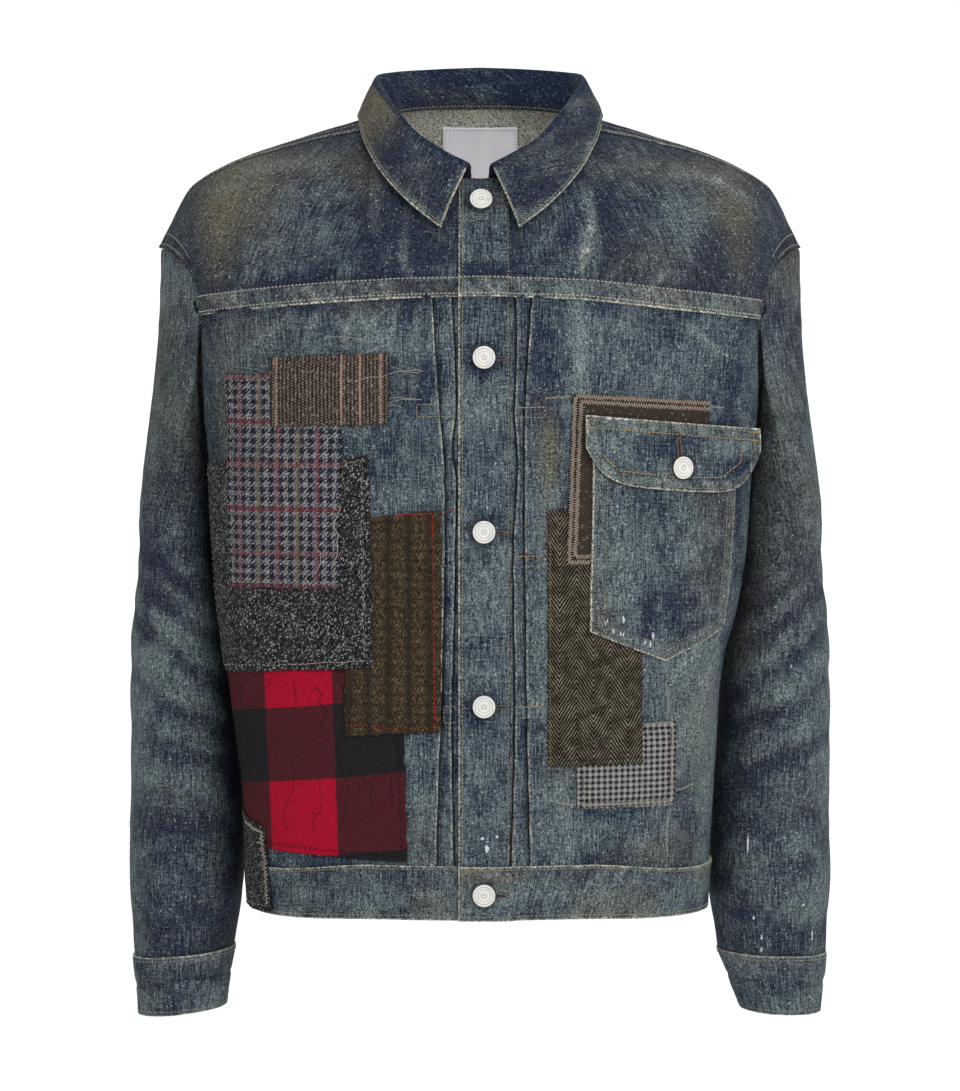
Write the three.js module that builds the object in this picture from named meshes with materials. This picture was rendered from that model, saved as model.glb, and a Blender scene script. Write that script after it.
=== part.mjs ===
// Patched denim work jacket, filled out with no wearer, as one group of separate cloth pieces.
// Millimetres, +Z up. The origin is on the centre line, level with the shoulder-neck points, where a
// wearer's shoulders hold it up. The front faces -Y and the wearer's left is at +X.
//
// The body is a stack of horizontal sections, each two superellipse halves that meet at the side.
// A section is walked by an angle, 0 at centre front, 90 at the side and 180 at centre back. "side" is
// +1 on the wearer's left and -1 on the right, and "out" is the distance from the centre front as if
// the cloth were laid flat, so it can pass the side where the panel turns back.
import * as THREE from "three";

// Driving sizes
const DENIM = 1.6;
const BAND = 3.0;
const COLLAR = 2.4;
const WOOL = 1.2;
const LAYER = WOOL + 0.7;
const PATCH_CLEARANCE = 1.3;
const PLACKET_LIFT = 2.8;
const PLACKET_EDGE = -16.5;
const UNDERLAP_EDGE = 17;
const PLEAT_RISE = 1.8;

const YOKE_SEAM_CENTRE = -142;
const YOKE_SEAM_DROP = 13;
const YOKE_SEAM_HALF = 214;
const UNDERARM_Z = -305;
const UNDERARM_Y = 12;
const ARMHOLE_TOP_Z = -155;
const HEM_TOP = -580;
const HEM_BOTTOM = -622;
const CUFF_SEAM = -670;
const CUFF_END = -718;

const NECK = { half: 80, y: -15, front: 80, back: 75, low: -53 };
const NECK_SHOULDER_ANGLE = 111;

// Body profiles over the height: [z, value]
const HALF_WIDTH_RIGHT = [
  [-155, 219], [-230, 219], [-262, 216], [-340, 211], [-395, 207], [-440, 200], [-545, 187], [-626, 182],
];
const HALF_WIDTH_LEFT = [
  [-155, 219], [-230, 219], [-262, 216], [-340, 211], [-385, 205], [-425, 195], [-465, 190.5], [-515, 187.5],
  [-582, 184], [-626, 181],
];
const CENTRE_FRONT_Y = [[-142, -137], [-200, -148], [-300, -152], [-450, -148], [-626, -143]];
const CENTRE_BACK_Y = [[-150, 122], [-220, 126], [-300, 120], [-450, 106], [-626, 108]];
const SIDE_FOLD_Y = [[-155, -62], [-200, -50], [-260, -40], [-400, -34], [-626, -28]];
const BACK_SQUARENESS = [[-155, 5], [-230, 3.4], [-300, 2.5], [-450, 2.3], [-626, 2.3]];
const FRONT_SQUARENESS = 2.15;

// Sleeve profiles over the height: [z, value]
const SLEEVE_OUTER = [
  [-104, 257], [-160, 264], [-213, 270], [-295, 275], [-362, 278], [-416, 283], [-585, 284.6], [-625, 284],
  [-671, 281],
];
const SLEEVE_INNER_RIGHT = [
  [-104, 208], [-305, 208], [-350, 204], [-400, 199], [-450, 195], [-500, 191], [-560, 189], [-625, 194],
  [-671, 201],
];
const SLEEVE_INNER_LEFT = [
  [-104, 208], [-305, 208], [-350, 204], [-400, 198], [-450, 194], [-500, 190], [-560, 186], [-625, 187],
  [-671, 194],
];
const SLEEVE_CENTRE_Y = [[-104, 22], [-305, 28], [-450, 32], [-560, 28], [-671, 22]];
const SLEEVE_HALF_DEPTH = [[-104, 66], [-305, 68], [-400, 71], [-500, 69], [-580, 63], [-640, 52], [-671, 42]];
const SLEEVE_SQUARENESS = 2.2;
const SLEEVE_CLEARANCE = 4;

// Knife pleats: distance of each folded edge from the centre line over the height
const PLEATS = {
  left: [
    [[-142, 28], [-187, 28.5], [-229, 27], [-272, 29.5], [-341, 26], [-460, 27.5], [-590, 24.5]],
    [[-142, 40.5], [-187, 37.4], [-229, 34.7], [-341, 34.7], [-500, 37.3], [-590, 39.5]],
  ],
  right: [
    [[-142, 22.5], [-187, 20], [-229, 19.4], [-260, 22], [-280, 19], [-345, 19.5], [-480, 22.5], [-590, 20.5]],
    [[-142, 37], [-187, 34.3], [-229, 31.5], [-272, 28], [-341, 27.5], [-450, 30], [-500, 32], [-590, 34.5]],
  ],
};

const LEFT = 1;
const RIGHT = -1;
const RADIANS = Math.PI / 180;

// ---------- small maths ----------

function smooth(from, to, value) {
  const t = THREE.MathUtils.clamp((value - from) / (to - from), 0, 1);
  return t * t * (3 - 2 * t);
}

function mix(a, b, t) {
  return a + (b - a) * t;
}

// A smooth curve through [place, value] pairs, flat beyond its ends.
function through(pairs) {
  const knots = [...pairs].sort((a, b) => a[0] - b[0]);
  const last = knots.length - 1;
  const slopes = knots.map((knot, i) => {
    const before = knots[Math.max(i - 1, 0)];
    const after = knots[Math.min(i + 1, last)];
    return (after[1] - before[1]) / (after[0] - before[0]);
  });
  return (place) => {
    const x = THREE.MathUtils.clamp(place, knots[0][0], knots[last][0]);
    let i = 0;
    while (i < last - 1 && x > knots[i + 1][0]) i += 1;
    const width = knots[i + 1][0] - knots[i][0];
    const t = (x - knots[i][0]) / width;
    const rise = t * t * (3 - 2 * t);
    const start = t * (1 - t) * (1 - t) * width * slopes[i];
    const end = t * t * (t - 1) * width * slopes[i + 1];
    return mix(knots[i][1], knots[i + 1][1], rise) + start + end;
  };
}

function steps(count) {
  return Array.from({ length: count }, (unused, i) => i / (count - 1));
}

function hermite(p0, t0, p1, t1, v) {
  const rise = v * v * (3 - 2 * v);
  return p0.clone().multiplyScalar(1 - rise)
    .addScaledVector(p1, rise)
    .addScaledVector(t0, v * (1 - v) * (1 - v))
    .addScaledVector(t1, v * v * (v - 1));
}

// ---------- body sections ----------

const halfWidthRight = through(HALF_WIDTH_RIGHT);
const halfWidthLeft = through(HALF_WIDTH_LEFT);
const centreFrontY = through(CENTRE_FRONT_Y);
const centreBackY = through(CENTRE_BACK_Y);
const sideFoldY = through(SIDE_FOLD_Y);
const backSquareness = through(BACK_SQUARENESS);

function halfWidth(side, z) {
  return side === LEFT ? halfWidthLeft(z) : halfWidthRight(z);
}

// Point of the body at an angle in degrees round the section at height z.
function bodyPoint(side, angle, z) {
  const front = Math.abs(angle) <= 90;
  const power = 2 / (front ? FRONT_SQUARENESS : backSquareness(z));
  const sine = Math.sin(angle * RADIANS);
  const cosine = Math.abs(Math.cos(angle * RADIANS));
  const x = side * Math.sign(sine) * halfWidth(side, z) * Math.abs(sine) ** power;
  const fold = sideFoldY(z);
  const reach = (front ? centreFrontY(z) : centreBackY(z)) - fold;
  return new THREE.Vector3(x, fold + reach * cosine ** power, z);
}

// Half-width of the body at a depth y behind the side fold.
function bodyHalfWidthAt(side, y, z) {
  const fold = sideFoldY(z);
  const share = THREE.MathUtils.clamp((y - fold) / (centreBackY(z) - fold), 0, 1);
  const squareness = backSquareness(z);
  return halfWidth(side, z) * (1 - share ** squareness) ** (1 / squareness);
}

// Angle of a place given by its distance "out" from the centre line along the cloth.
const TURN_SHARE = 0.85;
const TURN_ANGLE = Math.asin(TURN_SHARE ** (FRONT_SQUARENESS / 2)) / RADIANS;
const TURN_RATE = 96;

function angleAt(side, out, z) {
  const share = Math.abs(out) / halfWidth(side, z);
  if (share <= TURN_SHARE) {
    return Math.sign(out) * Math.asin(share ** (FRONT_SQUARENESS / 2)) / RADIANS;
  }
  return Math.sign(out) * (TURN_ANGLE + TURN_RATE * (share - TURN_SHARE));
}

// Angle of a place on the back: "across" is 0 at centre back and 1 at the seam of the given angle.
const BACK_FLAT_SHARE = 0.8;
const BACK_FLAT_ACROSS = 0.62;

function backAngle(across, seamAngle, z) {
  const turn = (share) => 180 - Math.asin(share ** (backSquareness(z) / 2)) / RADIANS;
  if (across <= BACK_FLAT_ACROSS) return turn(BACK_FLAT_SHARE * across / BACK_FLAT_ACROSS);
  return mix(turn(BACK_FLAT_SHARE), seamAngle, (across - BACK_FLAT_ACROSS) / (1 - BACK_FLAT_ACROSS));
}

function backAngleAtDepth(y, z) {
  const fold = sideFoldY(z);
  const share = THREE.MathUtils.clamp((y - fold) / (centreBackY(z) - fold), 0, 1);
  return 180 - Math.acos(share ** (backSquareness(z) / 2)) / RADIANS;
}

function frontAngleAtDepth(y, z) {
  const fold = sideFoldY(z);
  const share = THREE.MathUtils.clamp((y - fold) / (centreFrontY(z) - fold), 0, 1);
  return Math.acos(share ** (FRONT_SQUARENESS / 2)) / RADIANS;
}

function angleAtDepth(y, z) {
  return y > sideFoldY(z) ? backAngleAtDepth(y, z) : frontAngleAtDepth(y, z);
}

// ---------- seams ----------

function yokeSeamZ(side, x) {
  const dip = side === LEFT ? 3 * smooth(70, 160, Math.abs(x)) : 0;
  return YOKE_SEAM_CENTRE - YOKE_SEAM_DROP * (x / YOKE_SEAM_HALF) ** 2 - dip;
}

function backYokeSeamZ(x) {
  return -150 - 5 * (x / YOKE_SEAM_HALF) ** 2;
}

function hemTopZ(x) {
  return HEM_TOP - 9 * smooth(80, 175, Math.abs(x));
}

function hemBottomZ(x) {
  return HEM_BOTTOM - 4 * smooth(60, 175, Math.abs(x));
}

// Depth of the armhole seam over the height, in front of and behind the arm.
function armholeShare(z) {
  return THREE.MathUtils.clamp((z - UNDERARM_Z) / (ARMHOLE_TOP_Z - UNDERARM_Z), 0, 1.02);
}

function armholeFrontY(z) {
  const share = armholeShare(z);
  const round = Math.max(1 - (1 - share) ** 2, 0) ** 0.8;
  return UNDERARM_Y - 45 * round - 37 * share ** 4;
}

function armholeBackY(z) {
  const share = armholeShare(z);
  const round = Math.max(1 - (1 - share) ** 2, 0) ** 0.8;
  return UNDERARM_Y + 38 * round + 20 * share ** 2;
}

function frontSeamAngle(z) {
  return angleAtDepth(armholeFrontY(z), z);
}

function backSeamAngle(z) {
  return angleAtDepth(armholeBackY(z), z);
}

// Neck seam: a loop walked from 0 at centre front to 180 at centre back.
function neckPoint(side, angle) {
  const turn = Math.abs(angle);
  const depth = turn < 90 ? NECK.front : NECK.back;
  const z = NECK.low + 55 * smooth(0, 115, turn) + 12 * smooth(60, 180, turn);
  const x = side * NECK.half * Math.sin(angle * RADIANS);
  return new THREE.Vector3(x, NECK.y - depth * Math.cos(angle * RADIANS), z);
}

// Shoulder seam, from the neck to the top of the armhole.
const SHOULDER_TIP = [256.5, 5, -102];
const shoulderCurve = new THREE.CatmullRomCurve3([
  neckPoint(LEFT, NECK_SHOULDER_ANGLE),
  new THREE.Vector3(96, 11, 0),
  new THREE.Vector3(155, 9, -18),
  new THREE.Vector3(196, 8, -33),
  new THREE.Vector3(228, 7, -52),
  new THREE.Vector3(243, 6, -75),
  new THREE.Vector3(252, 5.5, -94),
  new THREE.Vector3(...SHOULDER_TIP),
], false, "catmullrom", 0.5);

function shoulderPoint(side, share) {
  const point = shoulderCurve.getPointAt(share);
  point.x *= side;
  return point;
}

// ---------- yokes ----------

const YOKE_SPLIT = 0.38;
const NECK_CORNER_OUT = 13;

// Tangents of a front yoke column where it leaves the yoke seam and where it reaches the top edge.
const FRONT_RISE_Y = through([[0, 10], [YOKE_SPLIT, 20], [0.7, 10], [1, 0]]);
const FRONT_RISE_Z = through([[0, 95], [YOKE_SPLIT, 190], [0.7, 165], [1, 110]]);
const FRONT_TOP_X = through([[0, 0], [0.8, 0], [1, 40]]);
const FRONT_TOP_Y = through([[0, 70], [YOKE_SPLIT, 190], [0.7, 155], [1, 160]]);
const FRONT_TOP_Z = through([[0, 80], [YOKE_SPLIT, 30], [0.55, 4], [1, 0]]);

// Point of a front yoke: s runs from the centre edge to the armhole, v from the yoke seam upwards.
function frontYokePoint(side, startAngle, s, v) {
  let top;
  let bottomX;
  let angle;
  let place = s;
  if (s <= YOKE_SPLIT) {
    const turn = mix(startAngle, NECK_SHOULDER_ANGLE, s / YOKE_SPLIT);
    place = YOKE_SPLIT * Math.abs(turn) / NECK_SHOULDER_ANGLE;
    top = neckPoint(LEFT, turn);
    bottomX = neckPoint(LEFT, Math.min(turn, 90)).x + NECK_CORNER_OUT * smooth(20, NECK_SHOULDER_ANGLE, turn);
    angle = angleAt(side, bottomX, YOKE_SEAM_CENTRE);
  } else {
    const share = (s - YOKE_SPLIT) / (1 - YOKE_SPLIT);
    top = shoulderPoint(LEFT, share);
    const corner = angleAt(side, neckPoint(LEFT, 90).x + NECK_CORNER_OUT, YOKE_SEAM_CENTRE);
    angle = mix(corner, frontSeamAngle(yokeSeamZ(side, YOKE_SEAM_HALF)), share);
    bottomX = bodyPoint(LEFT, angle, YOKE_SEAM_CENTRE).x;
  }
  const seamZ = yokeSeamZ(side, bottomX);
  const bottom = bodyPoint(LEFT, angle, seamZ);
  const rise = new THREE.Vector3(0, FRONT_RISE_Y(place), FRONT_RISE_Z(place));
  const reach = new THREE.Vector3(FRONT_TOP_X(place), FRONT_TOP_Y(place), FRONT_TOP_Z(place));
  const point = hermite(bottom, rise, top, reach, v);
  point.x *= side;
  return point;
}

const BACK_SPLIT = 0.3;
const BACK_CORNER_ACROSS = 0.28;
const BACK_RISE_Z = through([[0, 150], [BACK_SPLIT, 170], [0.7, 165], [1, 110]]);
const BACK_TOP_X = through([[0, 0], [0.8, 0], [1, 40]]);
const BACK_TOP_Y = through([[0, -90], [BACK_SPLIT, -150], [0.7, -140], [1, -120]]);
const BACK_TOP_Z = through([[0, 90], [BACK_SPLIT, 30], [0.5, 4], [1, 0]]);

// Point of the back yoke: s runs from -1 at the right armhole through 0 at centre back to 1.
function backYokePoint(s, v) {
  const side = s < 0 ? RIGHT : LEFT;
  const place = Math.abs(s);
  let top;
  let angle;
  const seamAngle = backSeamAngle(backYokeSeamZ(YOKE_SEAM_HALF));
  const level = backYokeSeamZ(0);
  if (place <= BACK_SPLIT) {
    const share = place / BACK_SPLIT;
    top = neckPoint(LEFT, mix(180, NECK_SHOULDER_ANGLE, share));
    angle = backAngle(BACK_CORNER_ACROSS * share, seamAngle, level);
  } else {
    const share = (place - BACK_SPLIT) / (1 - BACK_SPLIT);
    top = shoulderPoint(LEFT, share);
    angle = backAngle(mix(BACK_CORNER_ACROSS, 1, share), seamAngle, level);
  }
  const first = bodyPoint(LEFT, angle, level);
  const bottom = bodyPoint(LEFT, angle, backYokeSeamZ(first.x));
  const rise = new THREE.Vector3(0, 0, BACK_RISE_Z(place));
  const reach = new THREE.Vector3(BACK_TOP_X(place), BACK_TOP_Y(place), BACK_TOP_Z(place));
  const point = hermite(bottom, rise, top, reach, v);
  point.x *= side;
  return point;
}

// ---------- walls ----------

// A closed wall between an outer and an inner grid of points. grid[row][column]; "wrapped" joins the
// last column to the first, and the rows then make two open ends.
function wallGeometry(outer, inner, wrapped) {
  const rows = outer.length;
  const columns = outer[0].length;
  const positions = [];
  [outer, inner].forEach((grid) => grid.forEach((row) => row.forEach((p) => positions.push(p.x, p.y, p.z))));
  const at = (layer, row, column) => (layer * rows + row) * columns + (column % columns);
  const index = [];
  const quad = (a, b, c, d) => index.push(a, b, c, a, c, d);
  const spans = wrapped ? columns : columns - 1;
  for (let row = 0; row < rows - 1; row += 1) {
    for (let column = 0; column < spans; column += 1) {
      quad(at(0, row, column), at(0, row, column + 1), at(0, row + 1, column + 1), at(0, row + 1, column));
      quad(at(1, row, column), at(1, row + 1, column), at(1, row + 1, column + 1), at(1, row, column + 1));
    }
  }
  for (let column = 0; column < spans; column += 1) {
    quad(at(0, 0, column), at(1, 0, column), at(1, 0, column + 1), at(0, 0, column + 1));
    const end = rows - 1;
    quad(at(0, end, column), at(0, end, column + 1), at(1, end, column + 1), at(1, end, column));
  }
  if (!wrapped) {
    for (let row = 0; row < rows - 1; row += 1) {
      quad(at(0, row, 0), at(0, row + 1, 0), at(1, row + 1, 0), at(1, row, 0));
      const end = columns - 1;
      quad(at(0, row, end), at(1, row, end), at(1, row + 1, end), at(0, row + 1, end));
    }
  }
  const geometry = new THREE.BufferGeometry();
  geometry.setAttribute("position", new THREE.Float32BufferAttribute(positions, 3));
  geometry.setIndex(index);
  geometry.computeVertexNormals();
  return geometry;
}

function signedVolume(geometry) {
  const position = geometry.getAttribute("position");
  const index = geometry.getIndex();
  const [a, b, c] = [new THREE.Vector3(), new THREE.Vector3(), new THREE.Vector3()];
  let total = 0;
  for (let i = 0; i < index.count; i += 3) {
    a.fromBufferAttribute(position, index.getX(i));
    b.fromBufferAttribute(position, index.getX(i + 1));
    c.fromBufferAttribute(position, index.getX(i + 2));
    total += a.dot(b.cross(c));
  }
  return total;
}

// Unit normals of a grid of points, on the side that "outward" chooses at its middle.
function gridNormals(grid, wrapped, outward) {
  const rows = grid.length;
  const columns = grid[0].length;
  const normals = grid.map((row, i) => row.map((point, j) => {
    const left = wrapped ? (j + columns - 1) % columns : Math.max(j - 1, 0);
    const right = wrapped ? (j + 1) % columns : Math.min(j + 1, columns - 1);
    const across = grid[i][right].clone().sub(grid[i][left]);
    const along = grid[Math.min(i + 1, rows - 1)][j].clone().sub(grid[Math.max(i - 1, 0)][j]);
    return across.cross(along).normalize();
  }));
  const row = Math.floor(rows / 2);
  const column = Math.floor(columns / 2);
  const flip = normals[row][column].dot(outward) < 0 ? -1 : 1;
  return normals.map((line) => line.map((normal) => normal.multiplyScalar(flip)));
}

// A cloth wall: points moved out by lift(row, column) for its outer face and in by the thickness.
function clothWall(grid, { thickness, outward, lift = () => 0, wrapped = false }) {
  const normals = gridNormals(grid, wrapped, outward);
  const move = (shift) => grid.map((row, i) => row.map((point, j) => (
    point.clone().addScaledVector(normals[i][j], shift + lift(i, j)))));
  let geometry = wallGeometry(move(0), move(-thickness), wrapped);
  if (signedVolume(geometry) < 0) geometry = wallGeometry(move(-thickness), move(0), wrapped);
  return geometry;
}

const FINISHES = {
  denim: { color: 0x3c4a54, roughness: 0.9, metalness: 0 },
  denim_dark: { color: 0x2f3a48, roughness: 0.9, metalness: 0 },
  brown_stripe: { color: 0x54483c, roughness: 1, metalness: 0 },
  houndstooth: { color: 0x6d6f7a, roughness: 1, metalness: 0 },
  grey_tweed: { color: 0x4c4d50, roughness: 1, metalness: 0 },
  olive_tweed: { color: 0x453b27, roughness: 1, metalness: 0 },
  red_check: { color: 0x7c1226, roughness: 1, metalness: 0 },
  brown_wool: { color: 0x55463b, roughness: 1, metalness: 0 },
  herringbone: { color: 0x46403a, roughness: 1, metalness: 0 },
  small_check: { color: 0x8a8784, roughness: 1, metalness: 0 },
  button: { color: 0xe6e2da, roughness: 0.35, metalness: 0.6 },
  label: { color: 0xd8d4de, roughness: 0.8, metalness: 0 },
};

const jacket = new THREE.Group();

function addPiece(name, geometry, finish) {
  const mesh = new THREE.Mesh(geometry, new THREE.MeshStandardMaterial(FINISHES[finish]));
  mesh.name = name;
  jacket.add(mesh);
  return mesh;
}

const FRONTWARD = new THREE.Vector3(0, -1, 0);
const BACKWARD = new THREE.Vector3(0, 1, 0);

// ---------- lower fronts ----------

// Extra height of the front cloth: the placket lies over the right front, and the pleats stand up.
function pleatEdges(side) {
  return (side === LEFT ? PLEATS.left : PLEATS.right).map(through);
}

const EDGE_SLOPE = 0.9;
const PLEAT_FADE = 9;
const SEAM_ANGLE_GAP = 0.1;
const FRONT_ROWS = [0, 0.12, 0.22, 0.29, 0.33, 0.345, 0.46, 0.58, 0.7, 0.82, 0.92, 1];
const FRONT_OUTER_COLUMNS = 10;
const PANEL_GAP = 0.5;
const PANEL_TOP_Z = -150;
const PANEL_MIDDLE_Z = -300;

// A point of a lower panel: t runs from its yoke seam down to the hem band, at the angle that
// angleOf(z) gives.
function panelPoint(side, seamZ, t, angleOf) {
  let point = bodyPoint(side, angleOf(PANEL_MIDDLE_Z), mix(PANEL_TOP_Z, HEM_TOP, t));
  for (let i = 0; i < 3; i += 1) {
    const x = Math.abs(point.x);
    const z = mix(seamZ(x) - PANEL_GAP, hemTopZ(x) + PANEL_GAP, t);
    point = bodyPoint(side, angleOf(z), z);
  }
  return point;
}

function lowerFront(side) {
  const edges = pleatEdges(side);
  const flat = side === LEFT
    ? [[PLACKET_EDGE, PLACKET_LIFT], [2, PLACKET_LIFT], [20.5, PLACKET_LIFT], [23, 0]]
    : [[-UNDERLAP_EDGE, 0], [-4, 0], [12, 0]];
  const columns = flat.map(([out, rise]) => ({ out: () => out, rise }));
  edges.forEach((edge) => {
    columns.push({ out: (z) => edge(z) - EDGE_SLOPE, rise: 0 });
    columns.push({ out: edge, rise: PLEAT_RISE });
  });
  columns.push({ out: (z) => edges[1](z) + PLEAT_FADE, rise: 0 });
  const inner = columns.length;
  for (let i = 1; i <= FRONT_OUTER_COLUMNS; i += 1) {
    columns.push({ share: i / FRONT_OUTER_COLUMNS, rise: 0 });
  }
  const lastOut = columns[inner - 1].out;
  const grid = FRONT_ROWS.map((t) => columns.map((column) => {
    const angleOf = (z) => (column.out
      ? angleAt(side, column.out(z), z)
      : mix(angleAt(side, lastOut(z), z), frontSeamAngle(z) - SEAM_ANGLE_GAP, column.share));
    return panelPoint(side, (x) => yokeSeamZ(side, x), t, angleOf);
  }));
  const lift = (i, j) => columns[j].rise;
  return clothWall(grid, { thickness: DENIM, outward: FRONTWARD, lift });
}

addPiece("front_right", lowerFront(RIGHT), "denim");
addPiece("front_left", lowerFront(LEFT), "denim");

// ---------- lower back ----------

const BACK_ROWS = [0, 0.13, 0.24, 0.31, 0.345, 0.46, 0.59, 0.72, 0.86, 1];
const BACK_COLUMNS = 15;

function lowerBack() {
  const grid = BACK_ROWS.map((t) => steps(BACK_COLUMNS).map((share) => {
    const across = 2 * share - 1;
    const side = across < 0 ? RIGHT : LEFT;
    const angleOf = (z) => backAngle(Math.abs(across), backSeamAngle(z) + SEAM_ANGLE_GAP, z);
    return panelPoint(side, backYokeSeamZ, t, angleOf);
  }));
  return clothWall(grid, { thickness: DENIM, outward: BACKWARD });
}

addPiece("back", lowerBack(), "denim");

// ---------- yokes ----------

const YOKE_ROWS = [0, 0.1, 0.26, 0.43, 0.59, 0.74, 0.88, 1];
const SHOULDER_GAP = 0.6;
const YOKE_FELL = 0.6;
const SHOULDER_SHARES = [0, 0.15, 0.3, 0.45, 0.6, 0.74, 0.87, 0.999];
const PLACKET_START = -Math.asin(-PLACKET_EDGE / NECK.half) / RADIANS;
const UNDERLAP_START = -Math.asin(UNDERLAP_EDGE / NECK.half) / RADIANS;

function frontYoke(side) {
  const start = side === LEFT ? PLACKET_START : UNDERLAP_START;
  const neckOuts = side === LEFT ? [PLACKET_EDGE, 2, 20.5, 23, 38, 54, 68] : [-UNDERLAP_EDGE, 3, 23, 38, 54, 68];
  const neckColumns = neckOuts.map((out) => {
    const turn = Math.asin(out / NECK.half) / RADIANS;
    return YOKE_SPLIT * (turn - start) / (NECK_SHOULDER_ANGLE - start);
  });
  const columns = [...neckColumns, ...SHOULDER_SHARES.map((share) => mix(YOKE_SPLIT, 1, share))];
  const grid = YOKE_ROWS.map((v) => columns.map((s) => {
    const point = frontYokePoint(side, start, s, v);
    if (v === 1 && s >= YOKE_SPLIT) point.y -= SHOULDER_GAP;
    return point;
  }));
  const lift = (i, j) => {
    const fell = YOKE_FELL * (1 - smooth(0.1, 0.26, YOKE_ROWS[i]));
    const placket = side === LEFT && neckOuts[j] < 21 ? PLACKET_LIFT : 0;
    return fell + placket;
  };
  return clothWall(grid, { thickness: DENIM, outward: FRONTWARD, lift });
}

function backYoke() {
  const half = [0.1, 0.2, ...SHOULDER_SHARES.map((share) => mix(BACK_SPLIT, 1, share))];
  const columns = [...half.map((s) => -s).reverse(), 0, ...half];
  const grid = YOKE_ROWS.map((v) => columns.map((s) => {
    const point = backYokePoint(s, v);
    if (v === 1 && Math.abs(s) >= BACK_SPLIT) point.y += SHOULDER_GAP;
    return point;
  }));
  const lift = (i) => YOKE_FELL * (1 - smooth(0.1, 0.26, YOKE_ROWS[i]));
  return clothWall(grid, { thickness: DENIM, outward: BACKWARD, lift });
}

addPiece("yoke_front_right", frontYoke(RIGHT), "denim_dark");
addPiece("yoke_front_left", frontYoke(LEFT), "denim_dark");
addPiece("back_yoke", backYoke(), "denim_dark");

// ---------- sleeves and cuffs ----------

// Armhole seam from 0 at the shoulder tip, by the front to 0.5 underarm, and by the back to 1.
const ARMHOLE_YOKE_SHARE = 0.17;

function armholePoint(side, share) {
  const front = share <= 0.5;
  const along = front ? share : 1 - share;
  if (along < ARMHOLE_YOKE_SHARE) {
    const v = 1 - along / ARMHOLE_YOKE_SHARE;
    return front ? frontYokePoint(side, 0, 1, v) : backYokePoint(side, v);
  }
  const down = (along - ARMHOLE_YOKE_SHARE) / (0.5 - ARMHOLE_YOKE_SHARE);
  const top = front ? yokeSeamZ(side, YOKE_SEAM_HALF) : backYokeSeamZ(YOKE_SEAM_HALF);
  const drop = 1 - (1 - down) ** 1.6;
  const z = mix(top, UNDERARM_Z, drop);
  return bodyPoint(side, front ? frontSeamAngle(z) : backSeamAngle(z), z);
}

const sleeveOuter = through(SLEEVE_OUTER);
const sleeveInner = { [LEFT]: through(SLEEVE_INNER_LEFT), [RIGHT]: through(SLEEVE_INNER_RIGHT) };
const sleeveCentreY = through(SLEEVE_CENTRE_Y);
const sleeveHalfDepth = through(SLEEVE_HALF_DEPTH);
const CUFF_TILT = { [LEFT]: 1.5, [RIGHT]: 4 };

// Section of the sleeve at height z, walked like the armhole; the inner side stays off the body.
function sleeveSection(side, share, z) {
  const turn = share * 2 * Math.PI;
  const power = 2 / SLEEVE_SQUARENESS;
  const outer = sleeveOuter(z);
  const inner = sleeveInner[side](z);
  const cosine = Math.sign(Math.cos(turn)) * Math.abs(Math.cos(turn)) ** power;
  const sine = Math.sign(Math.sin(turn)) * Math.abs(Math.sin(turn)) ** power;
  const y = sleeveCentreY(z) - sleeveHalfDepth(z) * sine;
  const x = (outer + inner) / 2 + cosine * (outer - inner) / 2;
  return new THREE.Vector3(side * x, y, z);
}

function cuffSeamZ(side, share) {
  return CUFF_SEAM - CUFF_TILT[side] * Math.cos(share * 2 * Math.PI);
}

// Drag folds that cross the sleeve at the elbow: [height at the front, slant, width, depth]
const ELBOW_FOLDS = [[-372, 26, 13, -2.2], [-408, 30, 13, -2.6], [-446, 30, 14, -2.4], [-486, 24, 14, -1.8]];

function elbowFold(share, z) {
  const frontness = Math.max(Math.cos((share - 0.22) * 2 * Math.PI), 0);
  return ELBOW_FOLDS.reduce((sum, [height, slant, width, depth]) => {
    const crest = height + slant * Math.cos(share * 2 * Math.PI);
    return sum + depth * frontness * Math.exp(-(((z - crest) / width) ** 2));
  }, 0);
}

const SLEEVE_COLUMNS = 20;
const SLEEVE_ROWS = [0, 0.05, 0.12, 0.2, 0.29, 0.38, 0.46, 0.54, 0.62, 0.7, 0.79, 0.88, 0.95, 1];
const CAP_BLEND = 0.38;
const SEAM_START = 0.0022;

function sleevePoint(side, share, t) {
  const start = armholePoint(side, share);
  const along = mix(SEAM_START, 1, t);
  const z = mix(start.z, cuffSeamZ(side, share) + PANEL_GAP, along);
  const section = sleeveSection(side, share, z);
  const blend = smooth(0, CAP_BLEND, along);
  const y = mix(start.y, section.y, blend);
  const wall = bodyHalfWidthAt(side, y, z) + SLEEVE_CLEARANCE * smooth(-0.02, 0.1, along);
  const x = Math.max(Math.abs(mix(start.x, section.x, blend)), wall);
  return new THREE.Vector3(side * x, y, z);
}

function sleeve(side) {
  const grid = SLEEVE_ROWS.map((t) => Array.from({ length: SLEEVE_COLUMNS }, (unused, i) => (
    sleevePoint(side, i / SLEEVE_COLUMNS, t))));
  const lift = (i, j) => elbowFold(j / SLEEVE_COLUMNS, grid[i][j].z);
  const outward = new THREE.Vector3(-side, 0, 0);
  return clothWall(grid, { thickness: DENIM, outward, lift, wrapped: true });
}

const CUFF_END_SHAPE = {
  [LEFT]: { inner: 212.5, outer: 276, depth: 37 },
  [RIGHT]: { inner: 207.5, outer: 277, depth: 37 },
};
const CUFF_ROWS = [0, 0.5, 1];
const CUFF_PROUD = 0.8;

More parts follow.
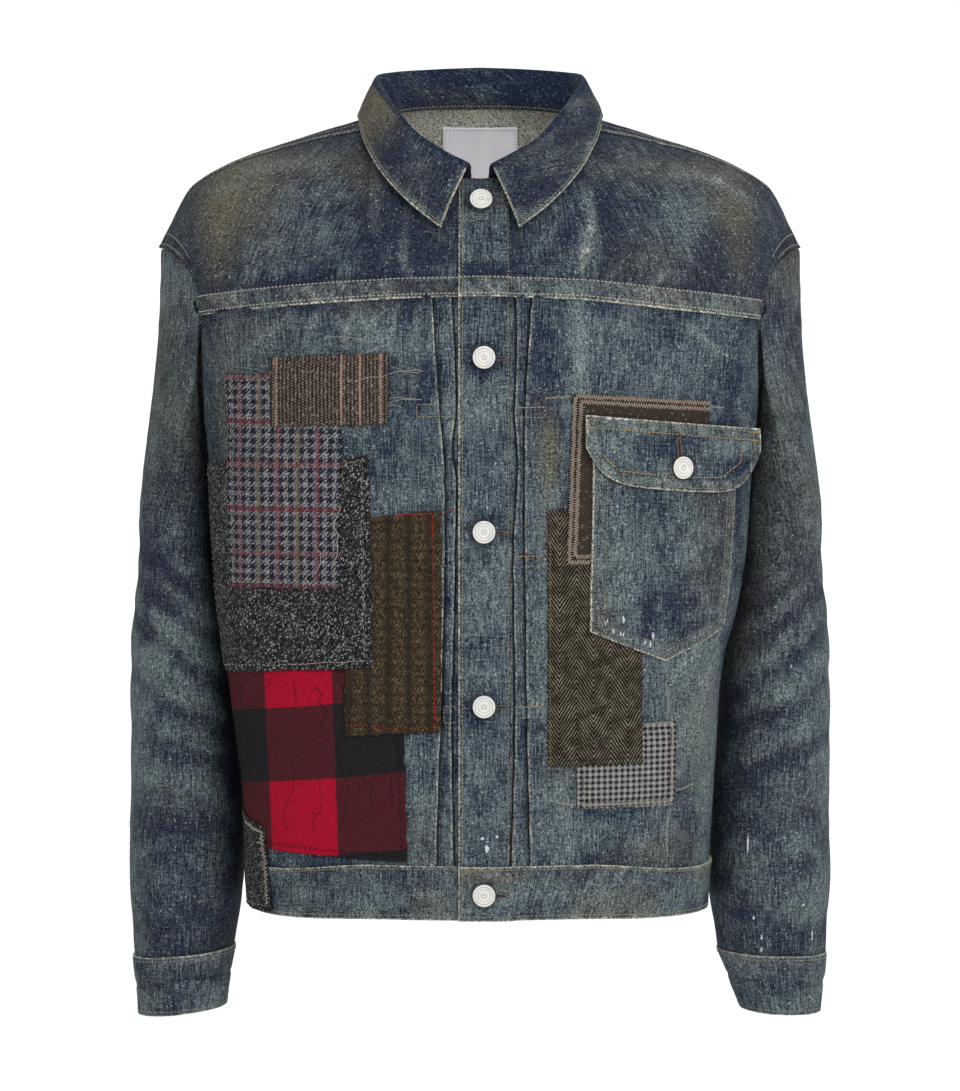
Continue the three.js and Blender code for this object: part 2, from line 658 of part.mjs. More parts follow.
function cuffPoint(side, share, t) {
  const seam = sleeveSection(side, share, cuffSeamZ(side, share));
  const end = CUFF_END_SHAPE[side];
  const turn = share * 2 * Math.PI;
  const middle = (end.inner + end.outer) / 2;
  const x = side * (middle + (end.outer - middle) * Math.cos(turn));
  const y = sleeveCentreY(CUFF_SEAM) - end.depth * Math.sin(turn);
  const z = mix(seam.z, cuffSeamZ(side, share) + CUFF_END - CUFF_SEAM, t);
  return new THREE.Vector3(mix(seam.x, x, t), mix(seam.y, y, t), z);
}

function cuff(side) {
  const grid = CUFF_ROWS.map((t) => Array.from({ length: SLEEVE_COLUMNS }, (unused, i) => (
    cuffPoint(side, i / SLEEVE_COLUMNS, t))));
  const outward = new THREE.Vector3(-side, 0, 0);
  return clothWall(grid, { thickness: BAND, outward, lift: () => CUFF_PROUD, wrapped: true });
}

[RIGHT, LEFT].forEach((side) => {
  const name = side === LEFT ? "left" : "right";
  addPiece(`sleeve_${name}`, sleeve(side), "denim");
  addPiece(`cuff_${name}`, cuff(side), "denim");
});

// ---------- hem band ----------

const BAND_ROWS = [0, 0.5, 1];
const BAND_PROUD = 0.9;
const BAND_OVERLAP_LIFT = BAND + 0.6;

// Stations round the band from its right end under the placket to its left end on top.
function bandStations() {
  const right = [-UNDERLAP_EDGE, -6, 12, 32, 52, 72, 92, 112, 132, 150];
  const left = [PLACKET_EDGE, 0, 18, 26, 46, 70, 92, 112, 132, 150];
  const back = steps(17).map((share) => mix(-1, 1, share));
  return [
    ...right.map((out) => ({ side: RIGHT, out })),
    ...back.map((across) => ({ side: across < 0 ? RIGHT : LEFT, across: Math.abs(across) })),
    ...left.reverse().map((out) => ({ side: LEFT, out })),
  ];
}

function waistband() {
  const stations = bandStations();
  const sideAngle = 68;
  const grid = BAND_ROWS.map((t) => stations.map((station) => {
    let point = new THREE.Vector3(station.out ?? station.across * YOKE_SEAM_HALF, 0, HEM_TOP);
    for (let i = 0; i < 3; i += 1) {
      const x = Math.abs(point.x);
      const z = mix(hemTopZ(x), hemBottomZ(x), t);
      const angle = station.out === undefined
        ? mix(180, sideAngle, station.across)
        : angleAt(station.side, station.out, z);
      point = bodyPoint(station.side, angle, z);
    }
    return point;
  }));
  const lift = (i, j) => {
    const station = stations[j];
    const overlap = station.side === LEFT && station.out !== undefined && station.out < 25;
    return BAND_PROUD + (overlap ? BAND_OVERLAP_LIFT : 0);
  };
  return clothWall(grid, { thickness: BAND, outward: BACKWARD, lift });
}

addPiece("waistband", waistband(), "denim");

// ---------- collar ----------

// Roll line and outer edge from the front end round to the centre back, on the wearer's left.
const COLLAR_ROLL = [
  [9, -110, -41], [28, -104, -31], [48, -88, -17], [64, -62, 2], [78, -20, 23], [82, 18, 35], [70, 50, 41],
  [38, 70, 45], [0, 76, 47],
];
const COLLAR_OUTER = [
  [30, -132, -90], [54, -124, -71], [76, -99, -47], [91, -60, -20], [97, -12, 0], [96, 35, 4], [78, 72, 4],
  [42, 90, 4], [0, 95, 4],
];
const COLLAR_STATIONS = 11;
const COLLAR_NECK_START = 5;

function collarCurve(points) {
  const curve = new THREE.CatmullRomCurve3(
    points.map((point) => new THREE.Vector3(...point)), false, "catmullrom", 0.5);
  return (share) => curve.getPoint(share);
}

const collarRoll = collarCurve(COLLAR_ROLL);
const collarOuter = collarCurve(COLLAR_OUTER);
const ROLL_RADIUS = 2.6;
const COLLAR_FOOT = 3.2;

// Section of the collar: up the stand, over the roll and down the fall.
function collarSection(share) {
  const roll = collarRoll(share);
  const outer = collarOuter(share);
  const neck = neckPoint(LEFT, mix(COLLAR_NECK_START, 180, share ** 0.9));
  neck.z += COLLAR_FOOT;
  const across = outer.clone().sub(neck).setZ(0).normalize();
  const top = roll.clone();
  const inside = roll.clone().addScaledVector(across, -ROLL_RADIUS);
  inside.z -= ROLL_RADIUS;
  const outside = roll.clone().addScaledVector(across, ROLL_RADIUS);
  outside.z -= ROLL_RADIUS;
  const stand = neck.clone().lerp(inside, 0.5);
  const fall = outside.clone().lerp(outer, 0.5).addScaledVector(across, 1.5);
  const low = outside.clone().lerp(outer, 0.8).addScaledVector(across, 1);
  return [neck, stand, inside, top, outside, fall, low, outer];
}

function collar() {
  const half = steps(COLLAR_STATIONS).map((share) => collarSection(share));
  const mirrored = half.slice(0, -1).map((section) => section.map((p) => new THREE.Vector3(-p.x, p.y, p.z)));
  const sections = [...mirrored, ...half.reverse()];
  const outward = new THREE.Vector3(0, 0, 1);
  const rows = sections[0].map((unused, i) => sections.map((section) => section[i]));
  return clothWall(rows, { thickness: COLLAR, outward, lift: () => COLLAR / 2 });
}

addPiece("collar", collar(), "denim_dark");

// ---------- patches, pocket and flap ----------

// Corners as [distance out from the centre line, height], in order round the piece. Each patch lies
// over the earlier ones of its side.
const PATCHES = {
  patch_buffalo_check: {
    side: RIGHT, finish: "red_check", size: [10, 6],
    corners: [[243, -425], [60, -425], [55.5, -577], [214, -572]],
  },
  patch_olive_tweed: {
    side: RIGHT, finish: "olive_tweed", size: [5, 8],
    corners: [[103, -314], [29.5, -305], [29.5, -476], [103, -480]],
  },
  patch_grey_tweed: {
    side: RIGHT, finish: "grey_tweed", size: [10, 7],
    corners: [[259, -273], [85, -264], [81, -426], [243, -438]],
  },
  patch_houndstooth: {
    side: RIGHT, finish: "houndstooth", size: [6, 8],
    corners: [[200, -202], [105.5, -202], [106, -366], [199, -368]],
  },
  patch_striped_tweed: {
    side: RIGHT, finish: "brown_stripe", size: [5, 4],
    corners: [[161, -189], [70, -186], [70, -240], [160, -242]],
  },
  patch_grey_corner: {
    side: RIGHT, finish: "grey_tweed", size: [5, 5], extra: 3.2,
    corners: [[240, -543], [169, -556], [163, -624], [235, -624]],
  },
  patch_small_check: {
    side: LEFT, finish: "small_check", size: [5, 4],
    corners: [[74, -475], [151, -471], [150.5, -537], [74.5, -536]],
  },
  patch_herringbone: {
    side: LEFT, finish: "herringbone", size: [5, 9],
    corners: [[51.5, -306], [127, -301], [124, -502], [52, -503]],
  },
  patch_brown_wool: {
    side: LEFT, finish: "brown_wool", size: [6, 7],
    corners: [[71, -217], [177, -223], [170, -346], [66, -347]],
  },
};
const MASK_MARGIN = 16;
const MASK_FADE = 12;

// How far a place lies outside a convex outline whose corners run the same way round as given.
function distanceOutside(corners, x, z) {
  const area = corners.reduce((sum, [ax, az], i) => {
    const [bx, bz] = corners[(i + 1) % corners.length];
    return sum + ax * bz - bx * az;
  }, 0);
  const turn = Math.sign(area);
  return corners.reduce((far, [ax, az], i) => {
    const [bx, bz] = corners[(i + 1) % corners.length];
    const length = Math.hypot(bx - ax, bz - az);
    const away = turn * ((x - ax) * (bz - az) - (z - az) * (bx - ax)) / length;
    return Math.max(far, away);
  }, -Infinity);
}

// Height of the patches of one side that lie under a place; "above" is the patch that is being laid.
// Each layer comes down further out than the one below it.
function coverLift(side, above, x, z) {
  const names = Object.keys(PATCHES);
  const lower = names.slice(0, above ? names.indexOf(above) : names.length)
    .filter((name) => PATCHES[name].side === side);
  return lower.reduce((sum, name, i) => {
    const away = distanceOutside(PATCHES[name].corners, x, z);
    const margin = MASK_MARGIN * (lower.length - i);
    return sum + LAYER * (1 - smooth(margin, margin + MASK_FADE, away));
  }, 0);
}

// The pleat nearest a patch still stands up under its edge.
function pleatLift(side, out, z) {
  const edge = pleatEdges(side)[1](z);
  return PLEAT_RISE * (1 - smooth(0, PLEAT_FADE + 6, out - edge));
}

function laidPoint(side, out, z) {
  return bodyPoint(side, angleAt(side, out, z), z);
}

function patch(name, { side, corners, size, extra = 0 }) {
  const [columns, rows] = size;
  const places = steps(rows).map((v) => steps(columns).map((u) => {
    const [a, b, c, d] = corners;
    const out = mix(mix(a[0], b[0], u), mix(d[0], c[0], u), v);
    const z = mix(mix(a[1], b[1], u), mix(d[1], c[1], u), v);
    return [out, z];
  }));
  const grid = places.map((row) => row.map(([out, z]) => laidPoint(side, out, z)));
  const lift = (i, j) => {
    const [out, z] = places[i][j];
    return PATCH_CLEARANCE + WOOL + extra + coverLift(side, name, out, z) + pleatLift(side, out, z);
  };
  return clothWall(grid, { thickness: WOOL, outward: FRONTWARD, lift });
}

Object.entries(PATCHES).forEach(([name, settings]) => addPiece(name, patch(name, settings), settings.finish));

// Chest pocket: five-sided, narrowing to its point. Columns run across, rows down.
const POCKET = { top: -247, left: 86, right: 207, sideBottom: -399, tip: -424, tipOut: 146, rightBottom: 197 };
const POCKET_COLUMNS = [0, 0.125, 0.25, 0.375, 0.5, 0.625, 0.75, 0.875, 1];
const FLAP_SWELL = 1.6;

function pocket() {
  const places = steps(8).map((v) => POCKET_COLUMNS.map((u) => {
    const left = mix(POCKET.left, POCKET.left - 2.5, v);
    const right = mix(POCKET.right, POCKET.rightBottom, v);
    const bottom = u < 0.5 ? mix(POCKET.sideBottom, POCKET.tip, u * 2) : mix(POCKET.tip, POCKET.sideBottom, u * 2 - 1);
    const middle = mix(left, right, 0.5);
    const lean = u < 0.5 ? u * 2 : 2 - u * 2;
    const out = mix(left, right, u) + lean * v * (POCKET.tipOut - middle) * 0.5;
    return [out, mix(POCKET.top, bottom, v)];
  }));
  const grid = places.map((row) => row.map(([out, z]) => laidPoint(LEFT, out, z)));
  const lift = (i, j) => PATCH_CLEARANCE + DENIM + coverLift(LEFT, null, ...places[i][j]);
  return clothWall(grid, { thickness: DENIM, outward: FRONTWARD, lift });
}

addPiece("pocket", pocket(), "denim");

// Flap: stands off the side of the chest at its outer end, with rounded lower corners.
const FLAP = { left: 79.5, right: 214.5, top: -233, topDrop: 11, bottom: -291, flatFrom: 180 };
const FLAP_COLUMNS = [0, 0.06, 0.13, 0.24, 0.36, 0.48, 0.6, 0.72, 0.82, 0.9, 0.96, 1];
const FLAP_BOTTOM = through([
  [0, -258], [0.06, -272], [0.13, -281], [0.24, -287], [0.48, -291], [0.72, -293], [0.82, -292], [0.9, -286],
  [0.96, -274], [1, -262],
]);

function flapBase(out, z) {
  const turnOut = Math.min(out, FLAP.flatFrom);
  const point = laidPoint(LEFT, turnOut, z);
  if (out <= FLAP.flatFrom) return point;
  const before = laidPoint(LEFT, FLAP.flatFrom - 2, z);
  const slope = point.clone().sub(before).normalize();
  return point.addScaledVector(slope, (out - FLAP.flatFrom) / slope.x);
}

function flap() {
  const places = steps(4).map((v) => FLAP_COLUMNS.map((u) => {
    const out = mix(FLAP.left, FLAP.right, u);
    return [out, mix(FLAP.top - FLAP.topDrop * u, FLAP_BOTTOM(u), v)];
  }));
  const grid = places.map((row) => row.map(([out, z]) => flapBase(out, z)));
  const lift = (i, j) => {
    const cover = coverLift(LEFT, null, ...places[i][j]);
    return PATCH_CLEARANCE + DENIM * 2 + FLAP_SWELL + cover;
  };
  return clothWall(grid, { thickness: DENIM, outward: FRONTWARD, lift });
}

addPiece("pocket_flap", flap(), "denim");

// ---------- buttons and label ----------

// Tack button: a short shank under a shallow dished head, turned about its own axis.
const BUTTON_PROFILE = [[0, 0], [3.4, 0], [3.4, 1.2], [7.6, 1.4], [8.5, 2.2], [8.3, 3.2], [6.6, 3.6], [0, 3.3]];
const BUTTON_SIDES = 16;

function button(name, seat, normal) {
  const profile = BUTTON_PROFILE.map(([radius, height]) => new THREE.Vector2(radius, height));
  const geometry = new THREE.LatheGeometry(profile, BUTTON_SIDES);
  const mesh = addPiece(name, geometry, "button");
  mesh.position.copy(seat);
  mesh.quaternion.setFromUnitVectors(new THREE.Vector3(0, 1, 0), normal);
}

const BUTTON_OUT = 3;
const BUTTON_HEIGHTS = [-189.5, -322, -456];
const BUTTON_STANDOFF = 0.4;
const TOP_BUTTON_LIFT = 1.4;
const TOP_BUTTON_RISE = 1.6;
const TOP_BUTTON_FACING = new THREE.Vector3(0, -0.87, 0.49);

const topSeat = frontYokePoint(LEFT, PLACKET_START, 0.12, 0.68);
topSeat.x = 0.8;
topSeat.y -= PLACKET_LIFT + TOP_BUTTON_LIFT;
topSeat.z += TOP_BUTTON_RISE;
button("button_1", topSeat, TOP_BUTTON_FACING);
BUTTON_HEIGHTS.forEach((z, i) => {
  const seat = laidPoint(LEFT, BUTTON_OUT, z);
  seat.y -= PLACKET_LIFT + BUTTON_STANDOFF;
  button(`button_${i + 2}`, seat, FRONTWARD);
});
const hemSeat = laidPoint(LEFT, BUTTON_OUT, -601.5);
hemSeat.y -= BAND_PROUD + BAND_OVERLAP_LIFT + BUTTON_STANDOFF;
button("button_5", hemSeat, FRONTWARD);

const FLAP_BUTTON = [151.5, -273.5];
const flapSeat = flapBase(...FLAP_BUTTON);
const flapAcross = flapBase(FLAP_BUTTON[0] + 1, FLAP_BUTTON[1]).sub(flapSeat);
const flapNormal = new THREE.Vector3(flapAcross.y, -flapAcross.x, 0).normalize();
const flapLift = PATCH_CLEARANCE + DENIM * 2 + FLAP_SWELL + coverLift(LEFT, null, ...FLAP_BUTTON);
button("button_flap", flapSeat.addScaledVector(flapNormal, flapLift + BUTTON_STANDOFF), flapNormal);

// Bare label on the inner face of the back yoke, under the neck seam.
const LABEL = { half: 31, top: 0, height: 62, thickness: 1, clearance: 2.4 };
// The label's points are found on the yoke by small corrections from a first guess.
const LABEL_FIRST_V = 0.9;
const LABEL_FIRST_SPAN = 270;
const LABEL_RISE = 220;
const LABEL_SPAN = 400;
const LABEL_ROUNDS = 60;

function labelGeometry() {
  const grid = steps(5).map((t) => steps(5).map((share) => {
    const x = mix(-LABEL.half, LABEL.half, share);
    const z = LABEL.top - LABEL.height * t;
    let v = LABEL_FIRST_V;
    let s = x / LABEL_FIRST_SPAN;
    let point = backYokePoint(s, v);
    for (let i = 0; i < LABEL_ROUNDS; i += 1) {
      v = THREE.MathUtils.clamp(v + (z - point.z) / LABEL_RISE, 0, 1);
      s += (x - point.x) / LABEL_SPAN;
      point = backYokePoint(s, v);
    }
    return point;
  }));
  const lift = () => -DENIM - LABEL.clearance;
  return clothWall(grid, { thickness: LABEL.thickness, outward: BACKWARD, lift });
}

addPiece("neck_label", labelGeometry(), "label");

export default jacket;
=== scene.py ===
import bpy
import numpy as np
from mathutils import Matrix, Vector


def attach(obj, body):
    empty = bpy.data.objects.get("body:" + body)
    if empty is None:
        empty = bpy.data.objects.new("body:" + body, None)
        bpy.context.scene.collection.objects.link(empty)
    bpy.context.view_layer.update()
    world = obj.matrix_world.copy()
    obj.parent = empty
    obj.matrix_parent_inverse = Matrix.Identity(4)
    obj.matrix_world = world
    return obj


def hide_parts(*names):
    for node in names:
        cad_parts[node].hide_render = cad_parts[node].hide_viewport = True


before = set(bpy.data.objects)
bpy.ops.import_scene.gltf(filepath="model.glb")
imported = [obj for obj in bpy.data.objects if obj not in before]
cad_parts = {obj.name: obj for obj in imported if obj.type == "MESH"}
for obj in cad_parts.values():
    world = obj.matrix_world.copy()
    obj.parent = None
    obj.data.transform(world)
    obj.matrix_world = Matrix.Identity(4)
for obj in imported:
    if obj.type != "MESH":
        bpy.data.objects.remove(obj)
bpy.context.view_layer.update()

MM = 0.001
LEFT = 1
RIGHT = -1
SIDE_NAME = {LEFT: "left", RIGHT: "right"}

# ---------- camera ----------

CAMERA_ELEVATION = np.radians(3)
CAMERA_DISTANCE = 3.0
CAMERA_TARGET = Vector((0, 0, -0.3404))
CAMERA_LENS = 123.1

camera_data = bpy.data.cameras.new("camera")
camera_data.lens = CAMERA_LENS
camera_data.sensor_width = 36
camera = bpy.data.objects.new("camera", camera_data)
bpy.context.scene.collection.objects.link(camera)
away = Vector((0, -np.cos(CAMERA_ELEVATION), np.sin(CAMERA_ELEVATION)))
camera.location = CAMERA_TARGET + away * CAMERA_DISTANCE
camera.rotation_euler = (np.pi / 2 - CAMERA_ELEVATION, 0, 0)
bpy.context.scene.camera = camera
bpy.context.scene.view_settings.view_transform = "Standard"

# ---------- sizes shared with the solids (millimetres) ----------

DENIM = 1.6
BAND = 3.0
COLLAR = 2.4
WOOL = 1.2
PLACKET_LIFT = 2.8
PLACKET_EDGE = -16.5
UNDERLAP_EDGE = 17
YOKE_SEAM_HALF = 214
UNDERARM_Z = -305
ARMHOLE_TOP_Z = -155
HEM_TOP = -580
HEM_BOTTOM = -622
CUFF_SEAM = -670
CUFF_END = -718
CUFF_TALL = CUFF_SEAM - CUFF_END
CUFF_ROUND = 220
SLEEVE_ROUND = 270
BAND_TALL = HEM_TOP - HEM_BOTTOM
NECK_HALF = 80
POCKET_WIDE, POCKET_TALL = 118, 160
FLAP_WIDE = 135
PLACKET_ROWS = (-13.2, 21.5)
FRONT_BUTTONS = (-189.5, -322, -456)
HEM_BUTTON = (3, -601.5)
FLAP_BUTTON = (151.5, -273.5)
NECK_SHOULDER_ANGLE = 111

HALF_WIDTH_RIGHT = [
    (-155, 219), (-230, 219), (-262, 216), (-340, 211), (-395, 207), (-440, 200), (-545, 187), (-626, 182),
]
HALF_WIDTH_LEFT = [
    (-155, 219), (-230, 219), (-262, 216), (-340, 211), (-385, 205), (-425, 195), (-465, 190.5),
    (-515, 187.5), (-582, 184), (-626, 181),
]
CENTRE_FRONT_Y = [(-142, -137), (-200, -148), (-300, -152), (-450, -148), (-626, -143)]
CENTRE_BACK_Y = [(-150, 122), (-220, 126), (-300, 120), (-450, 106), (-626, 108)]
SIDE_FOLD_Y = [(-155, -62), (-200, -50), (-260, -40), (-400, -34), (-626, -28)]
BACK_SQUARENESS = [(-155, 5), (-230, 3.4), (-300, 2.5), (-450, 2.3), (-626, 2.3)]
FRONT_SQUARENESS = 2.15

SLEEVE_OUTER = [
    (-104, 257), (-160, 264), (-213, 270), (-295, 275), (-362, 278), (-416, 283), (-585, 284.6),
    (-625, 284), (-671, 281),
]
SLEEVE_INNER_RIGHT = [
    (-104, 208), (-305, 208), (-350, 204), (-400, 199), (-450, 195), (-500, 191), (-560, 189), (-625, 194),
    (-671, 201),
]
SLEEVE_INNER_LEFT = [
    (-104, 208), (-305, 208), (-350, 204), (-400, 198), (-450, 194), (-500, 190), (-560, 186), (-625, 187),
    (-671, 194),
]
SLEEVE_CENTRE_Y = [(-104, 22), (-305, 28), (-450, 32), (-560, 28), (-671, 22)]
SLEEVE_HALF_DEPTH = [
    (-104, 66), (-305, 68), (-400, 71), (-500, 69), (-580, 63), (-640, 52), (-671, 42),
]

# Folded edges of the knife pleats: distance from the centre line over the height
PLEATS = {
    LEFT: [
        [(-142, 28), (-187, 28.5), (-229, 27), (-272, 29.5), (-341, 26), (-460, 27.5), (-590, 24.5)],
        [(-142, 40.5), (-187, 37.4), (-229, 34.7), (-341, 34.7), (-500, 37.3), (-590, 39.5)],
    ],
    RIGHT: [
        [(-142, 22.5), (-187, 20), (-229, 19.4), (-260, 22), (-280, 19), (-345, 19.5), (-480, 22.5),
         (-590, 20.5)],
        [(-142, 37), (-187, 34.3), (-229, 31.5), (-272, 28), (-341, 27.5), (-450, 30), (-500, 32),
         (-590, 34.5)],
    ],
}

# ---------- small maths ----------


def smooth(low, high, value):
    t = np.clip((value - low) / (high - low), 0, 1)
    return t * t * (3 - 2 * t)


def mix(a, b, t):
    return a + (b - a) * t


def bump(value, width):
    return np.exp(-((value / width) ** 2))


def crests(value):
    return np.maximum(value, 0)


def fading(away, length):
    """One up to a line, and dying away over a length beyond it."""
    return np.exp(-crests(away) / length)


def through(pairs):
    """A smooth curve through (place, value) pairs, flat beyond its ends."""
    xs, ys = np.array(sorted(pairs), float).T
    slopes = np.empty(len(xs))
    slopes[1:-1] = (ys[2:] - ys[:-2]) / (xs[2:] - xs[:-2])
    slopes[0] = (ys[1] - ys[0]) / (xs[1] - xs[0])
    slopes[-1] = (ys[-1] - ys[-2]) / (xs[-1] - xs[-2])

    def curve(place):
        x = np.clip(place, xs[0], xs[-1])
        i = np.clip(np.searchsorted(xs, x, side="right") - 1, 0, len(xs) - 2)
        width = xs[i + 1] - xs[i]
        t = (x - xs[i]) / width
        rise = mix(ys[i], ys[i + 1], t * t * (3 - 2 * t))
        return rise + t * (1 - t) ** 2 * width * slopes[i] + t * t * (t - 1) * width * slopes[i + 1]

    return curve


def hermite(p0, t0, p1, t1, v):
    v = v[..., None]
    rise = v * v * (3 - 2 * v)
    return p0 * (1 - rise) + p1 * rise + t0 * v * (1 - v) ** 2 + t1 * v * v * (v - 1)


def vec(x, y, z):
    return np.stack(np.broadcast_arrays(x, y, z), -1).astype(float)


def unit(v):
    return v / np.maximum(np.linalg.norm(v, axis=-1, keepdims=True), 1e-9)


def wander(place, length, seed):
    """Smooth random values near -1..1 along one line, changing over the given length."""
    rng = np.random.default_rng(seed)
    knots = rng.uniform(-1, 1, 400)
    x = np.asarray(place, float) / length + 150
    i = np.floor(x).astype(int)
    t = x - i
    return mix(knots[i % 400], knots[(i + 1) % 400], t * t * (3 - 2 * t))


def cloud(u, v, length, seed):
    """Smooth random values near -1..1 over a plane, changing over the given length."""
    rng = np.random.default_rng(seed)
    knots = rng.uniform(-1, 1, (256, 256))
    x = np.asarray(u, float) / length + 1000
    y = np.asarray(v, float) / length + 1000
    i, j = np.floor(x).astype(int), np.floor(y).astype(int)
    a, b = x - i, y - j
    a, b = a * a * (3 - 2 * a), b * b * (3 - 2 * b)
    i0, i1, j0, j1 = i % 256, (i + 1) % 256, j % 256, (j + 1) % 256
    return mix(mix(knots[i0, j0], knots[i1, j0], a), mix(knots[i0, j1], knots[i1, j1], a), b)


def ladder(low, high, step, fine=(0.35, 0.9, 1.7, 2.9)):
    """Places from low to high, with closer ones near both ends."""
    near = [low] + [low + f for f in fine]
    far = [high - f for f in reversed(fine)] + [high]
    count = max(int(round((far[0] - near[-1]) / step)), 2)
    middle = np.linspace(near[-1], far[0], count + 1)[1:-1]
    return np.array([*near, *middle, *far])


def line_distance(x, z, a, b):
    """Distance from a segment, and the share of the way along it."""
    ax, az = a
    dx, dz = b[0] - ax, b[1] - az
    share = np.clip(((x - ax) * dx + (z - az) * dz) / (dx * dx + dz * dz), 0, 1)
    return np.hypot(x - ax - share * dx, z - az - share * dz), share


def creases(x, z, lines):
    """Soft ridges and troughs: each line is (start, end, width, height)."""
    total = np.zeros(np.broadcast(x, z).shape)
    for a, b, width, height in lines:
        away, share = line_distance(x, z, a, b)
        total += height * bump(away, width) * (0.25 + 0.75 * np.sin(np.pi * share))
    return total


def spots(x, z, blobs):
    """Soft oval areas: each is (x, z, half width, half height, amount)."""
    total = np.zeros(np.broadcast(x, z).shape)
    for bx, bz, rx, rz, amount in blobs:
        total += amount * np.exp(-((x - bx) / rx) ** 2 - ((z - bz) / rz) ** 2)
    return total


def scuffs(x, z, lines, share, spread):
    """Rubbed lines: each is (start, end, width, amount)."""
    return sum(share * amount * bump(line_distance(x, z, a, b)[0], width * spread)
               for a, b, width, amount in lines)


# ---------- body sections ----------

half_right = through(HALF_WIDTH_RIGHT)
half_left = through(HALF_WIDTH_LEFT)
front_y = through(CENTRE_FRONT_Y)
back_y = through(CENTRE_BACK_Y)
fold_y = through(SIDE_FOLD_Y)
back_square = through(BACK_SQUARENESS)


def half_width(side, z):
    return np.where(np.asarray(side) > 0, half_left(z), half_right(z))


def body(side, angle, z):
    """Point of the body at an angle in degrees round the section at height z."""
    angle, z = np.broadcast_arrays(np.asarray(angle, float), np.asarray(z, float))
    front = np.abs(angle) <= 90
    power = 2 / np.where(front, FRONT_SQUARENESS, back_square(z))
    sine, cosine = np.sin(np.radians(angle)), np.abs(np.cos(np.radians(angle)))
    x = side * np.sign(sine) * half_width(side, z) * np.abs(sine) ** power
    reach = np.where(front, front_y(z), back_y(z)) - fold_y(z)
    return vec(x, fold_y(z) + reach * cosine ** power, z)


def body_half_at(side, y, z):
    share = np.clip((y - fold_y(z)) / (back_y(z) - fold_y(z)), 0, 1)
    square = back_square(z)
    return half_width(side, z) * (1 - share ** square) ** (1 / square)


TURN_SHARE = 0.85
TURN_ANGLE = np.degrees(np.arcsin(TURN_SHARE ** (FRONT_SQUARENESS / 2)))
TURN_RATE = 96


def angle_at(side, out, z):
    share = np.abs(out) / half_width(side, z)
    near = np.degrees(np.arcsin(np.minimum(share, TURN_SHARE) ** (FRONT_SQUARENESS / 2)))
    return np.sign(out) * (near + TURN_RATE * crests(share - TURN_SHARE))


BACK_FLAT_SHARE = 0.8
BACK_FLAT_ACROSS = 0.62


def back_angle(across, seam_angle, z):
    def turn(share):
        return 180 - np.degrees(np.arcsin(share ** (back_square(z) / 2)))

    near = turn(BACK_FLAT_SHARE * np.minimum(across, BACK_FLAT_ACROSS) / BACK_FLAT_ACROSS)
    far = mix(turn(BACK_FLAT_SHARE), seam_angle, (across - BACK_FLAT_ACROSS) / (1 - BACK_FLAT_ACROSS))
    return np.where(across <= BACK_FLAT_ACROSS, near, far)


def angle_at_depth(y, z):
    fold = fold_y(z)
    behind = np.clip((y - fold) / (back_y(z) - fold), 0, 1)
    ahead = np.clip((y - fold) / (front_y(z) - fold), 0, 1)
    back = 180 - np.degrees(np.arccos(behind ** (back_square(z) / 2)))
    front = np.degrees(np.arccos(ahead ** (FRONT_SQUARENESS / 2)))
    return np.where(y > fold, back, front)


# ---------- seams ----------


def yoke_seam(side, x):
    dip = 3 * smooth(70, 160, np.abs(x)) if side == LEFT else 0
    return -142 - 13 * (x / YOKE_SEAM_HALF) ** 2 - dip


def back_yoke_seam(x):
    return -150 - 5 * (x / YOKE_SEAM_HALF) ** 2


def hem_top(x):
    return HEM_TOP - 9 * smooth(80, 175, np.abs(x))


def hem_bottom(x):
    return HEM_BOTTOM - 4 * smooth(60, 175, np.abs(x))


def armhole_share(z):
    return np.clip((z - UNDERARM_Z) / (ARMHOLE_TOP_Z - UNDERARM_Z), 0, 1.02)


def armhole_front_y(z):
    share = armhole_share(z)
    return 12 - 45 * crests(1 - (1 - share) ** 2) ** 0.8 - 37 * share ** 4


def armhole_back_y(z):
    share = armhole_share(z)
    return 12 + 38 * crests(1 - (1 - share) ** 2) ** 0.8 + 20 * share ** 2


def front_seam_angle(z):
    return angle_at_depth(armhole_front_y(z), z)


def back_seam_angle(z):
    return angle_at_depth(armhole_back_y(z), z)


def neck_point(angle):
    """Neck seam on the wearer's left, from 0 at centre front to 180 at centre back."""
    turn = np.abs(angle)
    z = -53 + 55 * smooth(0, 115, turn) + 12 * smooth(60, 180, turn)
    y = -15 - np.where(turn < 90, 80, 75) * np.cos(np.radians(angle))
    return vec(80 * np.sin(np.radians(angle)), y, z)


def catmull(points):
    """Uniform Catmull-Rom curve through points, by a share from 0 to 1."""
    points = np.array(points, float)
    ends = np.vstack([2 * points[0] - points[1], points, 2 * points[-1] - points[-2]])

    def curve(share):
        x = np.clip(share, 0, 1) * (len(points) - 1)
        i = np.minimum(np.floor(x).astype(int), len(points) - 2)
        t = x - i
        tangent0 = 0.5 * (ends[i + 2] - ends[i])
        tangent1 = 0.5 * (ends[i + 3] - ends[i + 1])
        return hermite(ends[i + 1], tangent0, ends[i + 2], tangent1, t)

    return curve


shoulder_curve = catmull([
    neck_point(NECK_SHOULDER_ANGLE), (96, 11, 0), (155, 9, -18), (196, 8, -33), (228, 7, -52), (243, 6, -75),
    (252, 5.5, -94), (256.5, 5, -102),
])
shoulder_table = shoulder_curve(np.linspace(0, 1, 401))
shoulder_lengths = np.r_[0, np.cumsum(np.linalg.norm(np.diff(shoulder_table, axis=0), axis=1))]


def shoulder_point(share):
    """Point of the shoulder seam on the wearer's left, by its share of the length."""
    place = np.interp(share, shoulder_lengths / shoulder_lengths[-1], np.linspace(0, 1, 401))
    return shoulder_curve(place)


# ---------- yokes ----------

